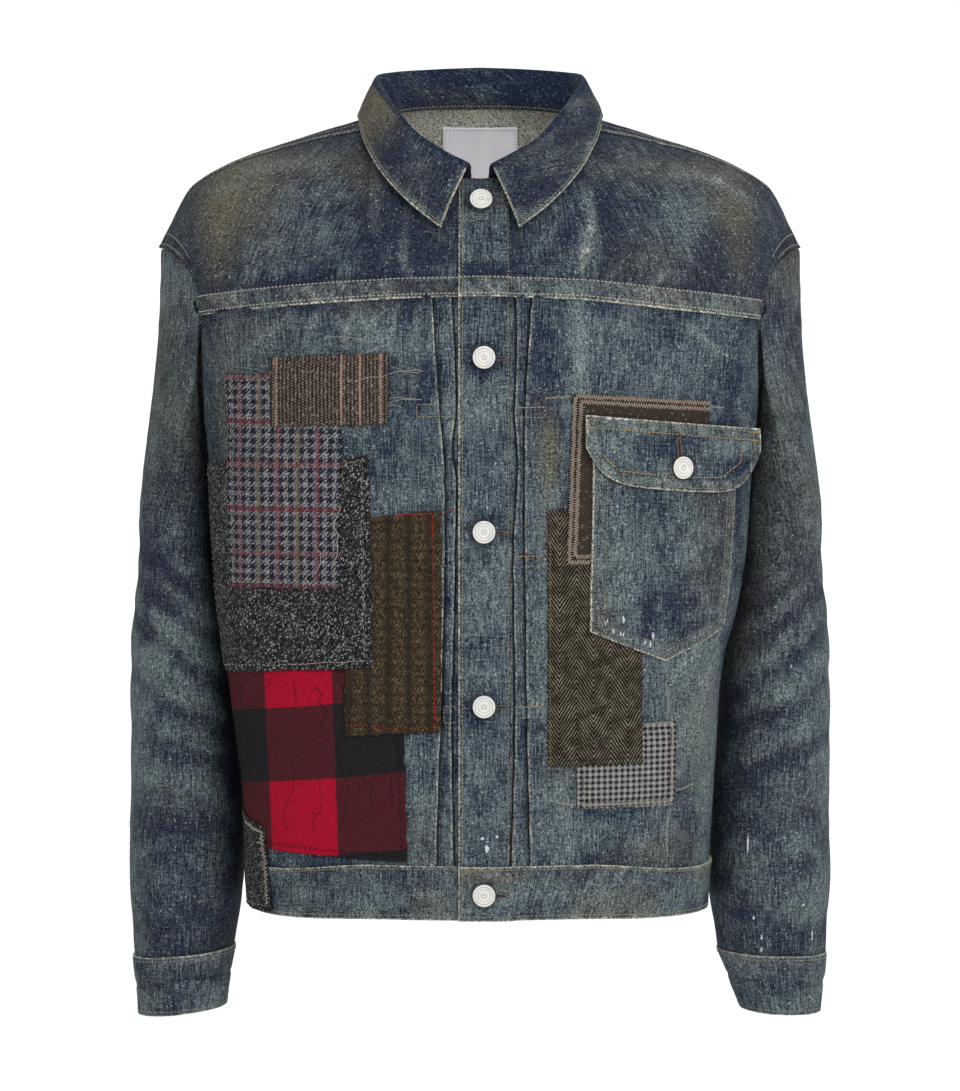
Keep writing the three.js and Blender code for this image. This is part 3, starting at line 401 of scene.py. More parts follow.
YOKE_SPLIT = 0.38
NECK_CORNER_OUT = 13
STRIP_WIDTH = through([(0.38, 0.2), (0.5, 0.18), (0.6, 0.155), (0.7, 0.125), (0.8, 0.09), (0.9, 0.03),
                       (0.96, 0.005)])
FRONT_RISE_Y = through([(0, 10), (YOKE_SPLIT, 20), (0.7, 10), (1, 0)])
FRONT_RISE_Z = through([(0, 95), (YOKE_SPLIT, 190), (0.7, 165), (1, 110)])
FRONT_TOP_X = through([(0, 0), (0.8, 0), (1, 40)])
FRONT_TOP_Y = through([(0, 70), (YOKE_SPLIT, 190), (0.7, 155), (1, 160)])
FRONT_TOP_Z = through([(0, 80), (YOKE_SPLIT, 30), (0.55, 4), (1, 0)])
PLACKET_START = -np.degrees(np.arcsin(-PLACKET_EDGE / NECK_HALF))
UNDERLAP_START = -np.degrees(np.arcsin(UNDERLAP_EDGE / NECK_HALF))


def front_yoke_point(side, start, s, v):
    """Point of a front yoke: s from the centre edge to the armhole, v from its seam upwards."""
    s, v = np.broadcast_arrays(np.asarray(s, float), np.asarray(v, float))
    near = s <= YOKE_SPLIT
    turn = mix(start, NECK_SHOULDER_ANGLE, np.minimum(s / YOKE_SPLIT, 1))
    share = np.clip((s - YOKE_SPLIT) / (1 - YOKE_SPLIT), 0, 1)
    neck = neck_point(turn)
    top = np.where(near[..., None], neck, shoulder_point(share))
    place = np.where(near, YOKE_SPLIT * np.abs(turn) / NECK_SHOULDER_ANGLE, s)
    near_x = neck_point(np.minimum(turn, 90))[..., 0] + NECK_CORNER_OUT * smooth(20, NECK_SHOULDER_ANGLE, turn)
    corner = angle_at(side, NECK_HALF + NECK_CORNER_OUT, -142)
    seam = front_seam_angle(yoke_seam(side, YOKE_SEAM_HALF))
    angle = np.where(near, angle_at(side, near_x, -142), mix(corner, seam, share))
    bottom_x = np.where(near, near_x, body(LEFT, angle, -142)[..., 0])
    bottom = body(LEFT, angle, yoke_seam(side, bottom_x))
    rise = vec(0, FRONT_RISE_Y(place), FRONT_RISE_Z(place))
    reach = vec(FRONT_TOP_X(place), FRONT_TOP_Y(place), FRONT_TOP_Z(place))
    return hermite(bottom, rise, top, reach, v) * (side, 1, 1)


BACK_SPLIT = 0.3
BACK_CORNER_ACROSS = 0.28
BACK_RISE_Z = through([(0, 150), (BACK_SPLIT, 170), (0.7, 165), (1, 110)])
BACK_TOP_X = through([(0, 0), (0.8, 0), (1, 40)])
BACK_TOP_Y = through([(0, -90), (BACK_SPLIT, -150), (0.7, -140), (1, -120)])
BACK_TOP_Z = through([(0, 90), (BACK_SPLIT, 30), (0.5, 4), (1, 0)])


def back_yoke_point(s, v):
    """Point of the back yoke: s from -1 at the right armhole through 0 at centre back to 1."""
    s, v = np.broadcast_arrays(np.asarray(s, float), np.asarray(v, float))
    place = np.abs(s)
    near = place <= BACK_SPLIT
    inner = np.minimum(place / BACK_SPLIT, 1)
    outer = np.clip((place - BACK_SPLIT) / (1 - BACK_SPLIT), 0, 1)
    top = np.where(near[..., None], neck_point(mix(180, NECK_SHOULDER_ANGLE, inner)), shoulder_point(outer))
    across = np.where(near, BACK_CORNER_ACROSS * inner, mix(BACK_CORNER_ACROSS, 1, outer))
    seam_angle = back_seam_angle(back_yoke_seam(YOKE_SEAM_HALF))
    angle = back_angle(across, seam_angle, back_yoke_seam(0))
    first = body(LEFT, angle, back_yoke_seam(0))
    bottom = body(LEFT, angle, back_yoke_seam(first[..., 0]))
    rise = vec(0, 0, BACK_RISE_Z(place))
    reach = vec(BACK_TOP_X(place), BACK_TOP_Y(place), BACK_TOP_Z(place))
    point = hermite(bottom, rise, top, reach, v)
    return point * vec(np.where(s < 0, RIGHT, LEFT), 1, 1)


# ---------- sleeves ----------

ARMHOLE_YOKE_SHARE = 0.17
sleeve_outer = through(SLEEVE_OUTER)
sleeve_inner = {LEFT: through(SLEEVE_INNER_LEFT), RIGHT: through(SLEEVE_INNER_RIGHT)}
sleeve_y = through(SLEEVE_CENTRE_Y)
sleeve_depth = through(SLEEVE_HALF_DEPTH)
CUFF_TILT = {LEFT: 1.5, RIGHT: 4}


def armhole_point(side, share):
    """Armhole seam: 0 at the shoulder tip, by the front to 0.5 underarm, and by the back to 1."""
    front = share <= 0.5
    along = np.where(front, share, 1 - share)
    v = np.clip(1 - along / ARMHOLE_YOKE_SHARE, 0, 1)
    front_top = front_yoke_point(side, 0, np.ones_like(v), v)
    back_top = back_yoke_point(side * np.ones_like(v), v)
    upper = np.where(front[..., None], front_top, back_top)
    down = np.clip((along - ARMHOLE_YOKE_SHARE) / (0.5 - ARMHOLE_YOKE_SHARE), 0, 1)
    top = np.where(front, yoke_seam(side, YOKE_SEAM_HALF), back_yoke_seam(YOKE_SEAM_HALF))
    z = mix(top, UNDERARM_Z, 1 - (1 - down) ** 1.6)
    lower = body(side, np.where(front, front_seam_angle(z), back_seam_angle(z)), z)
    return np.where((along < ARMHOLE_YOKE_SHARE)[..., None], upper, lower)


def sleeve_section(side, share, z):
    turn = share * 2 * np.pi
    power = 2 / 2.2
    outer, inner = sleeve_outer(z), sleeve_inner[side](z)
    cosine = np.sign(np.cos(turn)) * np.abs(np.cos(turn)) ** power
    sine = np.sign(np.sin(turn)) * np.abs(np.sin(turn)) ** power
    x = (outer + inner) / 2 + cosine * (outer - inner) / 2
    return vec(side * x, sleeve_y(z) - sleeve_depth(z) * sine, z)


def cuff_seam(side, share):
    return CUFF_SEAM - CUFF_TILT[side] * np.cos(share * 2 * np.pi)


def sleeve_point(side, share, t):
    share, t = np.broadcast_arrays(np.asarray(share, float), np.asarray(t, float))
    start = armhole_point(side, share % 1.0)
    along = mix(0.0022, 1, t)
    z = mix(start[..., 2], cuff_seam(side, share), along)
    section = sleeve_section(side, share, z)
    blend = smooth(0, 0.38, along)
    y = mix(start[..., 1], section[..., 1], blend)
    wall = body_half_at(side, y, z) + 4 * smooth(-0.02, 0.1, along)
    x = np.maximum(np.abs(mix(start[..., 0], section[..., 0], blend)), wall)
    return vec(side * x, y, z)


CUFF_END_SHAPE = {LEFT: (212.5, 276, 37), RIGHT: (207.5, 277, 37)}


def cuff_point(side, share, t):
    share, t = np.broadcast_arrays(np.asarray(share, float), np.asarray(t, float))
    seam = sleeve_section(side, share, cuff_seam(side, share))
    inner, outer, depth = CUFF_END_SHAPE[side]
    turn = share * 2 * np.pi
    middle = (inner + outer) / 2
    end = vec(side * (middle + (outer - middle) * np.cos(turn)), sleeve_y(CUFF_SEAM) - depth * np.sin(turn), 0)
    z = mix(seam[..., 2], cuff_seam(side, share) + CUFF_END - CUFF_SEAM, t)
    return vec(mix(seam[..., 0], end[..., 0], t), mix(seam[..., 1], end[..., 1], t), z)

# ---------- materials ----------


class Field:
    """A value in a material's node tree, with arithmetic."""

    def __init__(self, net, socket):
        self.net = net
        self.socket = socket

    def __add__(self, other):
        return self.net.maths("ADD", self, other)

    __radd__ = __add__

    def __sub__(self, other):
        return self.net.maths("SUBTRACT", self, other)

    def __rsub__(self, other):
        return self.net.maths("SUBTRACT", other, self)

    def __mul__(self, other):
        return self.net.maths("MULTIPLY", self, other)

    __rmul__ = __mul__

    def __truediv__(self, other):
        return self.net.maths("DIVIDE", self, other)

    def sine(self):
        return self.net.maths("SINE", self)

    def wrap(self):
        return self.net.maths("FRACT", self)

    def size(self):
        return self.net.maths("ABSOLUTE", self)

    def above(self, edge):
        return self.net.maths("GREATER_THAN", self, edge)

    def at_most(self, limit):
        return self.net.maths("MINIMUM", self, limit)

    def rise(self, low, high, start=0.0, end=1.0):
        """Soft step from start to end as the value goes from low to high."""
        return self.net.node(
            "ShaderNodeMapRange", {"interpolation_type": "SMOOTHSTEP"},
            {"Value": self, "From Min": low, "From Max": high, "To Min": start, "To Max": end})

    def ridge(self, centre, width):
        """One at the centre, falling to nothing a width away."""
        return (self - centre).size().rise(0, width, 1, 0)


class Net:
    """A material and the nodes behind its shader."""

    def __init__(self, name, roughness, metallic=0.0, shine=0.08):
        self.material = bpy.data.materials.new(name)
        self.material.use_nodes = True
        self.tree = self.material.node_tree
        self.tree.nodes.clear()
        self.shader = self.tree.nodes.new("ShaderNodeBsdfPrincipled")
        self.output = self.tree.nodes.new("ShaderNodeOutputMaterial")
        self.tree.links.new(self.shader.outputs["BSDF"], self.output.inputs["Surface"])
        self.shader.inputs["Roughness"].default_value = roughness
        self.shader.inputs["Specular IOR Level"].default_value = shine
        self.shader.inputs["Metallic"].default_value = metallic

    def put(self, socket, value):
        if isinstance(value, Field):
            self.tree.links.new(value.socket, socket)
        else:
            socket.default_value = value

    def node(self, kind, settings, inputs, output=0):
        made = self.tree.nodes.new(kind)
        for key, value in settings.items():
            setattr(made, key, value)
        for key, value in inputs.items():
            self.put(made.inputs[key], value)
        return Field(self, made.outputs[output])

    def maths(self, operation, *values):
        return self.node("ShaderNodeMath", {"operation": operation}, dict(enumerate(values)))

    def mix(self, factor, a, b, blend="MIX"):
        settings = {"data_type": "RGBA", "blend_type": blend, "clamp_factor": True}
        return self.node("ShaderNodeMix", settings, {0: factor, 6: a, 7: b}, 2)

    def attribute(self, name, output):
        return self.node("ShaderNodeAttribute", {"attribute_name": name}, {}, output)

    def parts(self, vector):
        split = self.tree.nodes.new("ShaderNodeSeparateXYZ")
        self.put(split.inputs[0], vector)
        return [Field(self, split.outputs[i]) for i in range(3)]

    def noise(self, size, detail=2.0, vector=None, rough=0.5):
        """Noise from 0 to 1 whose blotches are about the given size in millimetres."""
        where = vector if vector is not None else self.position()
        return self.node("ShaderNodeTexNoise", {}, {
            "Vector": where, "Scale": 1.0 / size, "Detail": detail, "Roughness": rough})

    def cell_shade(self, size, vector):
        colour = self.node("ShaderNodeTexVoronoi", {}, {"Vector": vector, "Scale": 1.0 / size}, 1)
        return self.parts(colour)[0]

    def position(self):
        """Place in the model, in millimetres."""
        where = self.node("ShaderNodeTexCoord", {}, {}, 3)
        return self.node("ShaderNodeVectorMath", {"operation": "SCALE"}, {0: where, "Scale": 1000.0})

    def stretched(self, x, y, z=0.0):
        return self.node("ShaderNodeCombineXYZ", {}, {0: x, 1: y, 2: z})

    def finish(self, colour, height=None, strength=0.5, distance=0.4):
        self.put(self.shader.inputs["Base Color"], colour)
        if height is not None:
            normal = self.node("ShaderNodeBump", {}, {
                "Strength": strength, "Distance": distance * MM, "Height": height})
            self.put(self.shader.inputs["Normal"], normal)
        return self.material


INDIGO = (0.0062, 0.011, 0.0245, 1)
FADED = (0.062, 0.082, 0.088, 1)
TAN = (0.062, 0.056, 0.04, 1)
RUBBED = (0.105, 0.122, 0.118, 1)
WORN = (0.24, 0.22, 0.165, 1)
INSIDE = (0.36, 0.35, 0.3, 1)
# Colour of painted shade, mixed in by the third value of the place attribute
SHADOW = (0.002, 0.0025, 0.004, 1)


def denim(name, inside=INSIDE):
    """Washed twill: cloth = (fade and painted shade, tan, wear, inner face), place = (across, down, painted
    shade).
    """
    net = Net(name, 0.92)
    fade_and_shade, tan, wear = net.parts(net.attribute("cloth", 0))
    inner = net.attribute("cloth", 3)
    across, down, painted_shade = net.parts(net.attribute("place", 1))
    grain = net.noise(1.1, 2.0)
    flecks = net.noise(2.3, 1.0)
    streak = net.noise(1.0, 2.0, net.stretched(across * 0.85, down * 0.06))
    weft = net.noise(1.0, 1.0, net.stretched(across * 0.07, down * 0.8))
    blotch = net.noise(14, 3.0)
    cloudy = net.noise(46, 2.0)
    level = fade_and_shade + (blotch - 0.5) * 1.0 + (cloudy - 0.5) * 1.2 + (streak - 0.5) * 1.5 + (weft - 0.5) * 0.8
    level = level.rise(-0.05, 1.05)
    colour = net.mix(level, INDIGO, FADED)
    dirt = tan * (net.noise(9, 3.0) * 0.9 + 0.55)
    colour = net.mix(dirt, colour, TAN)
    rubbed = wear * (net.noise(2.6, 3.0) * 2.4 - 0.25)
    colour = net.mix(rubbed * 1.1, colour, RUBBED)
    colour = net.mix(rubbed.rise(0.45, 1.1) * 0.85, colour, WORN)
    colour = net.mix(inner, colour, inside)
    light = (grain - 0.5) * 6.5 + (flecks - 0.5) * 2.0 + (streak - 0.5) * 1.6 + 1.0
    light = light.rise(-0.7, 2.7, 0.12, 2.3)
    white = flecks.rise(0.6, 0.72) * grain.rise(0.5, 0.7) * 0.4 * (1.2 - inner)
    colour = net.mix(white, colour, (0.21, 0.235, 0.24, 1))
    colour = net.mix(1.0, colour, net.stretched(light, light, light), "MULTIPLY")
    # Painted shade: darken towards SHADOW where folds, gaps, seams and overlaps would lie in shadow
    colour = net.mix(painted_shade, colour, SHADOW)
    twill = ((across + down) * (2 * np.pi / 0.9)).sine()
    height = twill * 0.18 + grain * 1.2 + streak * 0.5
    return net.finish(colour, height, 0.55, 0.3)


def wool(name, colour_of, height_size=1.1, strength=0.8):
    """Woven wool whose colour comes from its place; painted shade from the third place value darkens its covered
    edges.
    """
    net = Net(name, 1.0)
    across, down, painted_shade = net.parts(net.attribute("place", 1))
    inner = net.attribute("cloth", 3)
    colour = colour_of(net, across, down)
    colour = net.mix(inner, colour, (0.05, 0.045, 0.04, 1))
    # Painted shade towards SHADOW
    colour = net.mix(painted_shade, colour, SHADOW)
    fuzz = net.noise(height_size, 3.0)
    return net.finish(colour, fuzz, strength, 0.5)


def flecked(net, dark, mid, light, across, down, fine=1.3):
    """Salt and pepper yarns, from dark to light."""
    yarn = net.cell_shade(fine, net.stretched(across + down * 0.25, down * 0.75))
    base = net.mix(yarn.rise(0.25, 0.75), dark, mid)
    return net.mix(yarn.rise(0.8, 0.98), base, light)


def grey_tweed(net, across, down):
    base = flecked(net, (0.003, 0.003, 0.004, 1), (0.028, 0.028, 0.029, 1), (0.22, 0.22, 0.215, 1),
                   across, down, 0.8)
    shade = net.noise(22, 2.0).rise(0.3, 0.7)
    return net.mix(0.35 * shade, base, (0.012, 0.012, 0.013, 1))


def striped_tweed(net, across, down):
    base = flecked(net, (0.008, 0.006, 0.005, 1), (0.045, 0.035, 0.029, 1), (0.2, 0.165, 0.13, 1),
                   across, down, 1.0)
    rib = (across / 2.9).wrap().ridge(0.5, 0.44)
    base = net.mix((1 - rib) * 0.6, base, (0.008, 0.006, 0.005, 1))
    link = (down / 2.2 + (across / 5.8).wrap().above(0.5) * 0.5).wrap().ridge(0.5, 0.5)
    base = net.mix(rib * link * 0.75, base, (0.15, 0.12, 0.095, 1))
    wobble = net.noise(5, 1.0) - 0.5
    stripe = None
    for centre in (75.5, 91.5, 105.5, 156.0):
        line = (across + wobble).ridge(centre, 1.5)
        stripe = line if stripe is None else stripe + line
    broken = (down / 2.1).wrap().ridge(0.5, 0.6) + 0.25
    return net.mix(stripe * broken * 0.9, base, (0.27, 0.165, 0.135, 1))


def houndstooth(net, across, down):
    repeat = 7.5
    wobble = (net.noise(2.4, 2.0) - 0.5) * 1.5
    warp = ((across + wobble) / repeat).wrap().above(0.5)
    weft = ((down + wobble) / repeat).wrap().above(0.5)
    twill = ((across + down + wobble) / (repeat / 2)).wrap().above(0.5)
    both = warp * weft
    either = (warp + weft).at_most(1.0) - both
    light = both + either * twill
    pale = net.mix(net.noise(1.5, 2.0).rise(0.3, 0.7), (0.036, 0.036, 0.041, 1), (0.215, 0.208, 0.213, 1))
    navy = net.mix(net.noise(1.5, 2.0).rise(0.3, 0.7), (0.003, 0.004, 0.008, 1), (0.017, 0.021, 0.033, 1))
    base = net.mix(light * 0.92, navy, pale)
    red, olive = (0.085, 0.018, 0.024, 1), (0.075, 0.058, 0.028, 1)
    lines = [(across, centre, red) for centre in (185.5, 155.0, 124.5)]
    lines += [(across, centre, olive) for centre in (170.0, 139.5)]
    lines += [(down, centre, red) for centre in (-204.0, -238.5, -271.5, -306.0, -340.0, -366.5)]
    for place, centre, tint in lines:
        base = net.mix(place.ridge(centre, 3.4) * (1 - light * 0.5) * 0.85, base, tint)
    yarn = net.noise(1.2, 2.0).rise(0.25, 0.75, 0.5, 1.4)
    return net.mix(1.0, base, net.stretched(yarn, yarn, yarn), "MULTIPLY")


def olive_tweed(net, across, down):
    yarn = net.cell_shade(0.85, net.stretched(across * 1.1, down * 0.7))
    base = net.mix(yarn, (0.006, 0.0045, 0.0035, 1), (0.075, 0.052, 0.03, 1))
    base = net.mix(yarn.rise(0.85, 0.99), base, (0.125, 0.092, 0.046, 1))
    stripe = (across / 15.5).wrap().ridge(0.5, 0.34)
    base = net.mix(stripe * 0.75, base, (0.012, 0.01, 0.007, 1))
    level = (down / 7.4).wrap().ridge(0.5, 0.3)
    base = net.mix(level * 0.5, base, (0.014, 0.011, 0.007, 1))
    rust = net.noise(18, 2.0).rise(0.5, 0.75)
    base = net.mix(rust * 0.35, base, (0.045, 0.022, 0.012, 1))
    broken = ((across + down * 0.55) / 2.9).wrap().above(0.55)
    return net.mix(broken * 0.4, base, (0.006, 0.005, 0.004, 1))


def red_check(net, across, down):
    fringe = (net.noise(2.5, 2.0) - 0.5) * 1.6
    wide = (across - down * 0.0335 + fringe - 154.5).size().rise(25.9, 26.9, 1, 0)
    level = down + across * 0.12 + fringe
    upper = level.rise(-442.5, -441.5)
    lower = (level + 530).size().rise(29.5, 30.5, 1, 0)
    tall = upper + lower
    twill = ((across + down) / 2.3).wrap().above(0.5)
    red = wide * tall
    half = (wide + tall).at_most(1.0) - red
    amount = red + half * (twill * 0.2 + 0.05)
    fuzz = net.noise(1.6, 3.0).rise(0.2, 0.8)
    bright = net.mix(fuzz, (0.17, 0.0015, 0.009, 1), (0.28, 0.004, 0.02, 1))
    dark = net.mix(fuzz, (0.005, 0.005, 0.006, 1), (0.014, 0.012, 0.013, 1))
    return net.mix(amount, dark, bright)


def brown_wool(net, across, down):
    twill = ((across + down) / 2.4).wrap().ridge(0.5, 0.5)
    base = net.mix(twill * 0.5 + net.noise(2.0, 2.0) * 0.6, (0.012, 0.0095, 0.007, 1), (0.034, 0.027, 0.021, 1))
    speck = net.cell_shade(1.0, net.stretched(across, down)).rise(0.93, 0.99)
    return net.mix(speck * 0.6, base, (0.17, 0.14, 0.11, 1))


def herringbone(net, across, down):
    half = 13.1
    fold = ((across - 60.6) / half).wrap()
    turn = ((across - 60.6) / (2 * half)).wrap().above(0.5)
    wobble = (net.noise(5, 1.0) - 0.5) * 1.8
    lean = (turn * 2 - 1) * (fold - 0.5) * half * 1.6
    line = ((down + lean + wobble) / 3.9).wrap().ridge(0.5, 0.36)
    pale = net.mix(net.noise(8, 2.0).rise(0.3, 0.7), (0.072, 0.058, 0.038, 1), (0.21, 0.175, 0.125, 1))
    grain = net.noise(1.3, 2.0).rise(0.3, 0.7)
    return net.mix(line * (0.45 + grain * 0.55), (0.0035, 0.0032, 0.003, 1), pale)


def small_check(net, across, down):
    repeat = 4.5
    warp = (across / repeat).wrap().above(0.5)
    weft = (down / repeat).wrap().above(0.5)
    twill = ((across + down) / 1.6).wrap().above(0.5)
    both = warp * weft
    either = (warp + weft).at_most(1.0) - both
    light = both + either * twill
    grain = net.noise(0.9, 2.0).rise(0.2, 0.8)
    pale = net.mix(grain, (0.078, 0.076, 0.072, 1), (0.29, 0.28, 0.265, 1))
    dark = net.mix(grain, (0.002, 0.002, 0.003, 1), (0.01, 0.01, 0.01, 1))
    return net.mix(light, dark, pale)


def plain(name, colour, roughness, metallic=0.0, grain=0.0):
    net = Net(name, roughness, metallic)
    speck = net.noise(0.8, 2.0)
    other = tuple(c * (1 - grain) for c in colour[:3]) + (1,)
    return net.finish(net.mix(speck.rise(0.3, 0.7), other, colour), speck, 0.25, 0.15)


MATERIALS = {
    "denim": denim("denim_cloth"),
    "grey": wool("grey_tweed_cloth", grey_tweed),
    "striped": wool("striped_tweed_cloth", striped_tweed),
    "houndstooth": wool("houndstooth_cloth", houndstooth),
    "olive": wool("olive_tweed_cloth", olive_tweed),
    "red_check": wool("red_check_cloth", red_check, 1.6, 0.5),
    "brown": wool("brown_wool_cloth", brown_wool, 1.6, 0.5),
    "herringbone": wool("herringbone_cloth", herringbone),
    "small_check": wool("small_check_cloth", small_check),
    "khaki": plain("khaki_thread", (0.25, 0.21, 0.135, 1), 0.75, grain=0.5),
    "grey_thread": plain("grey_thread", (0.21, 0.2, 0.165, 1), 0.8, grain=0.5),
    "golden": plain("golden_thread", (0.32, 0.2, 0.075, 1), 0.7, grain=0.3),
    "pale": plain("pale_thread", (0.34, 0.315, 0.265, 1), 0.8, grain=0.4),
    "pink": plain("pink_thread", (0.26, 0.205, 0.165, 1), 0.8, grain=0.5),
    "red": plain("red_thread", (0.42, 0.015, 0.012, 1), 0.7, grain=0.3),
    "dark": plain("dark_thread", (0.012, 0.012, 0.014, 1), 0.9, grain=0.3),
    "frayed": plain("frayed_thread", (0.115, 0.092, 0.08, 1), 0.9, grain=0.4),
    "paint": plain("white_paint", (0.46, 0.49, 0.53, 1), 0.7, grain=0.45),
}

# ---------- mesh building ----------


def grid_normals(grid, wrapped, outward):
    if wrapped:
        across = np.roll(grid, -1, 1) - np.roll(grid, 1, 1)
    else:
        across = np.gradient(grid, axis=1)
    normals = unit(np.cross(across, np.gradient(grid, axis=0)))
    middle = normals[grid.shape[0] // 2, grid.shape[1] // 2]
    return normals * (-1 if np.dot(middle, outward) < 0 else 1)


def new_mesh(name, points, faces, material):
    mesh = bpy.data.meshes.new(name)
    mesh.from_pydata(points * MM, [], faces)
    mesh.polygons.foreach_set("use_smooth", np.full(len(mesh.polygons), True))
    mesh.materials.append(material)
    made = bpy.data.objects.new(name, mesh)
    bpy.context.scene.collection.objects.link(made)
    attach(made, "root")
    return made


def lattice(rows, columns, wrapped):
    row = np.arange(rows - 1)[:, None]
    spans = columns if wrapped else columns - 1
    column = np.arange(spans)[None, :]
    after = (column + 1) % columns
    a, b = row * columns + column, row * columns + after
    return np.stack([a, b, b + columns, a + columns], -1).reshape(-1, 4)


def wall(name, outer, inner, paint, place, material, node, slot, wrapped=False, turned=0):
    """A closed cloth wall from its outer and inner grids; the first turned rows are face cloth on both sides."""
    rows, columns = outer.shape[:2]
    count = rows * columns
    front = lattice(rows, columns, wrapped)
    back = front[:, ::-1] + count
    ring = np.arange(count).reshape(rows, columns)
    rims = []
    for line, turn in ((ring[0], 1), (ring[-1], -1)):
        line = np.r_[line, line[:1]] if wrapped else line
        rims.append(np.stack([line[:-1], line[:-1] + count, line[1:] + count, line[1:]], -1)[:, ::turn])
    if not wrapped:
        for line, turn in ((ring[:, 0], -1), (ring[:, -1], 1)):
            rims.append(np.stack([line[:-1], line[:-1] + count, line[1:] + count, line[1:]], -1)[:, ::turn])
    faces = np.vstack([front, back, *rims])
    points = np.vstack([outer.reshape(-1, 3), inner.reshape(-1, 3)])
    a, b, c = points[faces[:, 0]], points[faces[:, 1]], points[faces[:, 2]]
    d = points[faces[:, 3]]
    volume = np.sum(a * np.cross(b, c)) + np.sum(a * np.cross(c, d))
    if volume < 0:
        faces = faces[:, ::-1]
    made = new_mesh(name, points, faces.tolist(), MATERIALS[material])
    colour = np.concatenate([paint.reshape(-1, 3), np.zeros((count, 1))], 1)
    within = colour * (1, 1, 0.3, 1)
    within[turned * columns:, 3] = 1
    layer = made.data.attributes.new("cloth", "FLOAT_COLOR", "POINT")
    layer.data.foreach_set("color", np.vstack([colour, within]).ravel())
    # The third place value is painted shade; the inner face drops it except on the turned rows
    layer = made.data.attributes.new("place", "FLOAT_VECTOR", "POINT")
    shade = place.reshape(-1, 3)
    below = shade * (1, 1, 0)
    below[:turned * columns] = shade[:turned * columns]
    layer.data.foreach_set("vector", np.vstack([shade, below]).ravel())
    if node:
        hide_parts(node)
    return made


def row_at(walk, level, *grids):
    """Rows of grids at a level between two of their own, whose levels are in walk."""
    place = np.interp(level, walk, np.arange(len(walk)))
    low = int(place)
    return mix(grids[0][low], grids[0][low + 1], place - low), grids[1][low]


def lengths_over(grid, rows=True):
    """Distance walked over a grid of points, down its columns or along its rows."""
    axis = 0 if rows else 1
    walk = np.cumsum(np.linalg.norm(np.diff(grid, axis=axis), axis=-1), axis=axis)
    pad = [(0, 0), (0, 0)]
    pad[axis] = (1, 0)
    return np.pad(walk, pad)


class Sewing:
    """Stitches and loose threads, gathered by colour and made as one mesh for each."""

    def __init__(self):
        self.made = {}

    def add(self, colour, starts, ends, normals, radius):
        self.made.setdefault(colour, []).append((starts, ends, normals, np.broadcast_to(radius, len(starts))))

    def row(self, colour, points, normals, pitch=3.3, length=2.3, radius=0.42, lift=0.12, seed=1):
        """Stitches along a line of points on the cloth."""
        walk = np.r_[0, np.cumsum(np.linalg.norm(np.diff(points, axis=0), axis=1))]
        count = max(int(walk[-1] / pitch), 1)
        rng = np.random.default_rng(seed + count)
        starts = (np.arange(count) + 0.5) * walk[-1] / count - length / 2 + rng.uniform(-0.2, 0.2, count)
        spots_at = [np.clip(starts, 0, walk[-1]), np.clip(starts + length, 0, walk[-1])]
        ends = [np.stack([np.interp(s, walk, points[:, k]) for k in range(3)], 1) for s in spots_at]
        normal = unit(np.stack([np.interp(spots_at[0], walk, normals[:, k]) for k in range(3)], 1))
        keep = np.linalg.norm(ends[1] - ends[0], axis=1) > length * 0.4
        sizes = radius * rng.uniform(0.85, 1.12, count)
        start, end = ends[0] + normal * lift, ends[1] + normal * lift
        self.add(colour, start[keep], end[keep], normal[keep], sizes[keep])

    def thread(self, colour, points, normals, radius=0.25, lift=0.35):
        raised = points + normals * lift
        self.add(colour, raised[:-1], raised[1:], normals[:-1], radius)

    def build(self):
        sides = 5
        turn = np.arange(sides) * 2 * np.pi / sides
        for colour, parts in self.made.items():
            starts, ends, normals = (np.vstack([part[i] for part in parts]) for i in range(3))
            radius = np.concatenate([part[3] for part in parts])
            axis = unit(ends - starts)
            sideways = unit(np.cross(axis, normals))
            up = np.cross(sideways, axis)
            rings = []
            for share, size, sink in ((-0.03, 0.4, 0.8), (0.15, 1, 0), (0.85, 1, 0), (1.03, 0.4, 0.8)):
                centre = mix(starts, ends, share) - up * (radius * sink)[:, None]
                for angle in turn:
                    offset = sideways * np.cos(angle) + up * np.sin(angle)
                    rings.append(centre + offset * (radius * size)[:, None])
            points = np.stack(rings, 1).reshape(-1, 3)
            faces = []
            base = np.arange(len(starts)) * 4 * sides
            tube = []
            for ring in range(3):
                for i in range(sides):
                    j = (i + 1) % sides
                    low, high = ring * sides, (ring + 1) * sides
                    tube.append((low + i, low + j, high + j, high + i))
            caps = [tuple(range(sides))[::-1], tuple(3 * sides + i for i in range(sides))]
            for part in (tube, caps):
                faces += (base[:, None, None] + np.array(part)[None]).reshape(-1, len(part[0])).tolist()
            new_mesh(f"stitching_{colour}", points, faces, MATERIALS[colour])


sewing = Sewing()
FRONTWARD = np.array([0, -1, 0])
BACKWARD = np.array([0, 1, 0])


# ---------- the cloth of the body, its folds, its wear and its painted shade ---


def out_at(side, angle, z):
    """The distance out of a place given by its angle."""
    turn = np.abs(angle)
    near = np.sin(np.radians(np.minimum(turn, TURN_ANGLE))) ** (2 / FRONT_SQUARENESS)
    share = near + crests(turn - TURN_ANGLE) / TURN_RATE
    return np.sign(angle) * share * half_width(side, z)


def skin(side, angle, z, lift=0.0):
    """Point and normal of the body cloth, moved out by a lift."""
    point = body(side, angle, z)
    across = body(side, angle + 0.3, z) - body(side, angle - 0.3, z)
    up = body(side, angle, z + 1) - body(side, angle, z - 1)
    normal = unit(np.cross(across, up)) * side
    return point + normal * np.broadcast_to(lift, point.shape[:-1])[..., None], normal


pleat_edges = {side: [through(edge) for edge in PLEATS[side]] for side in (LEFT, RIGHT)}
PLEAT_HEIGHT = 1.9
BAR_HEIGHTS = (-229.5, -343.5, -461.5)

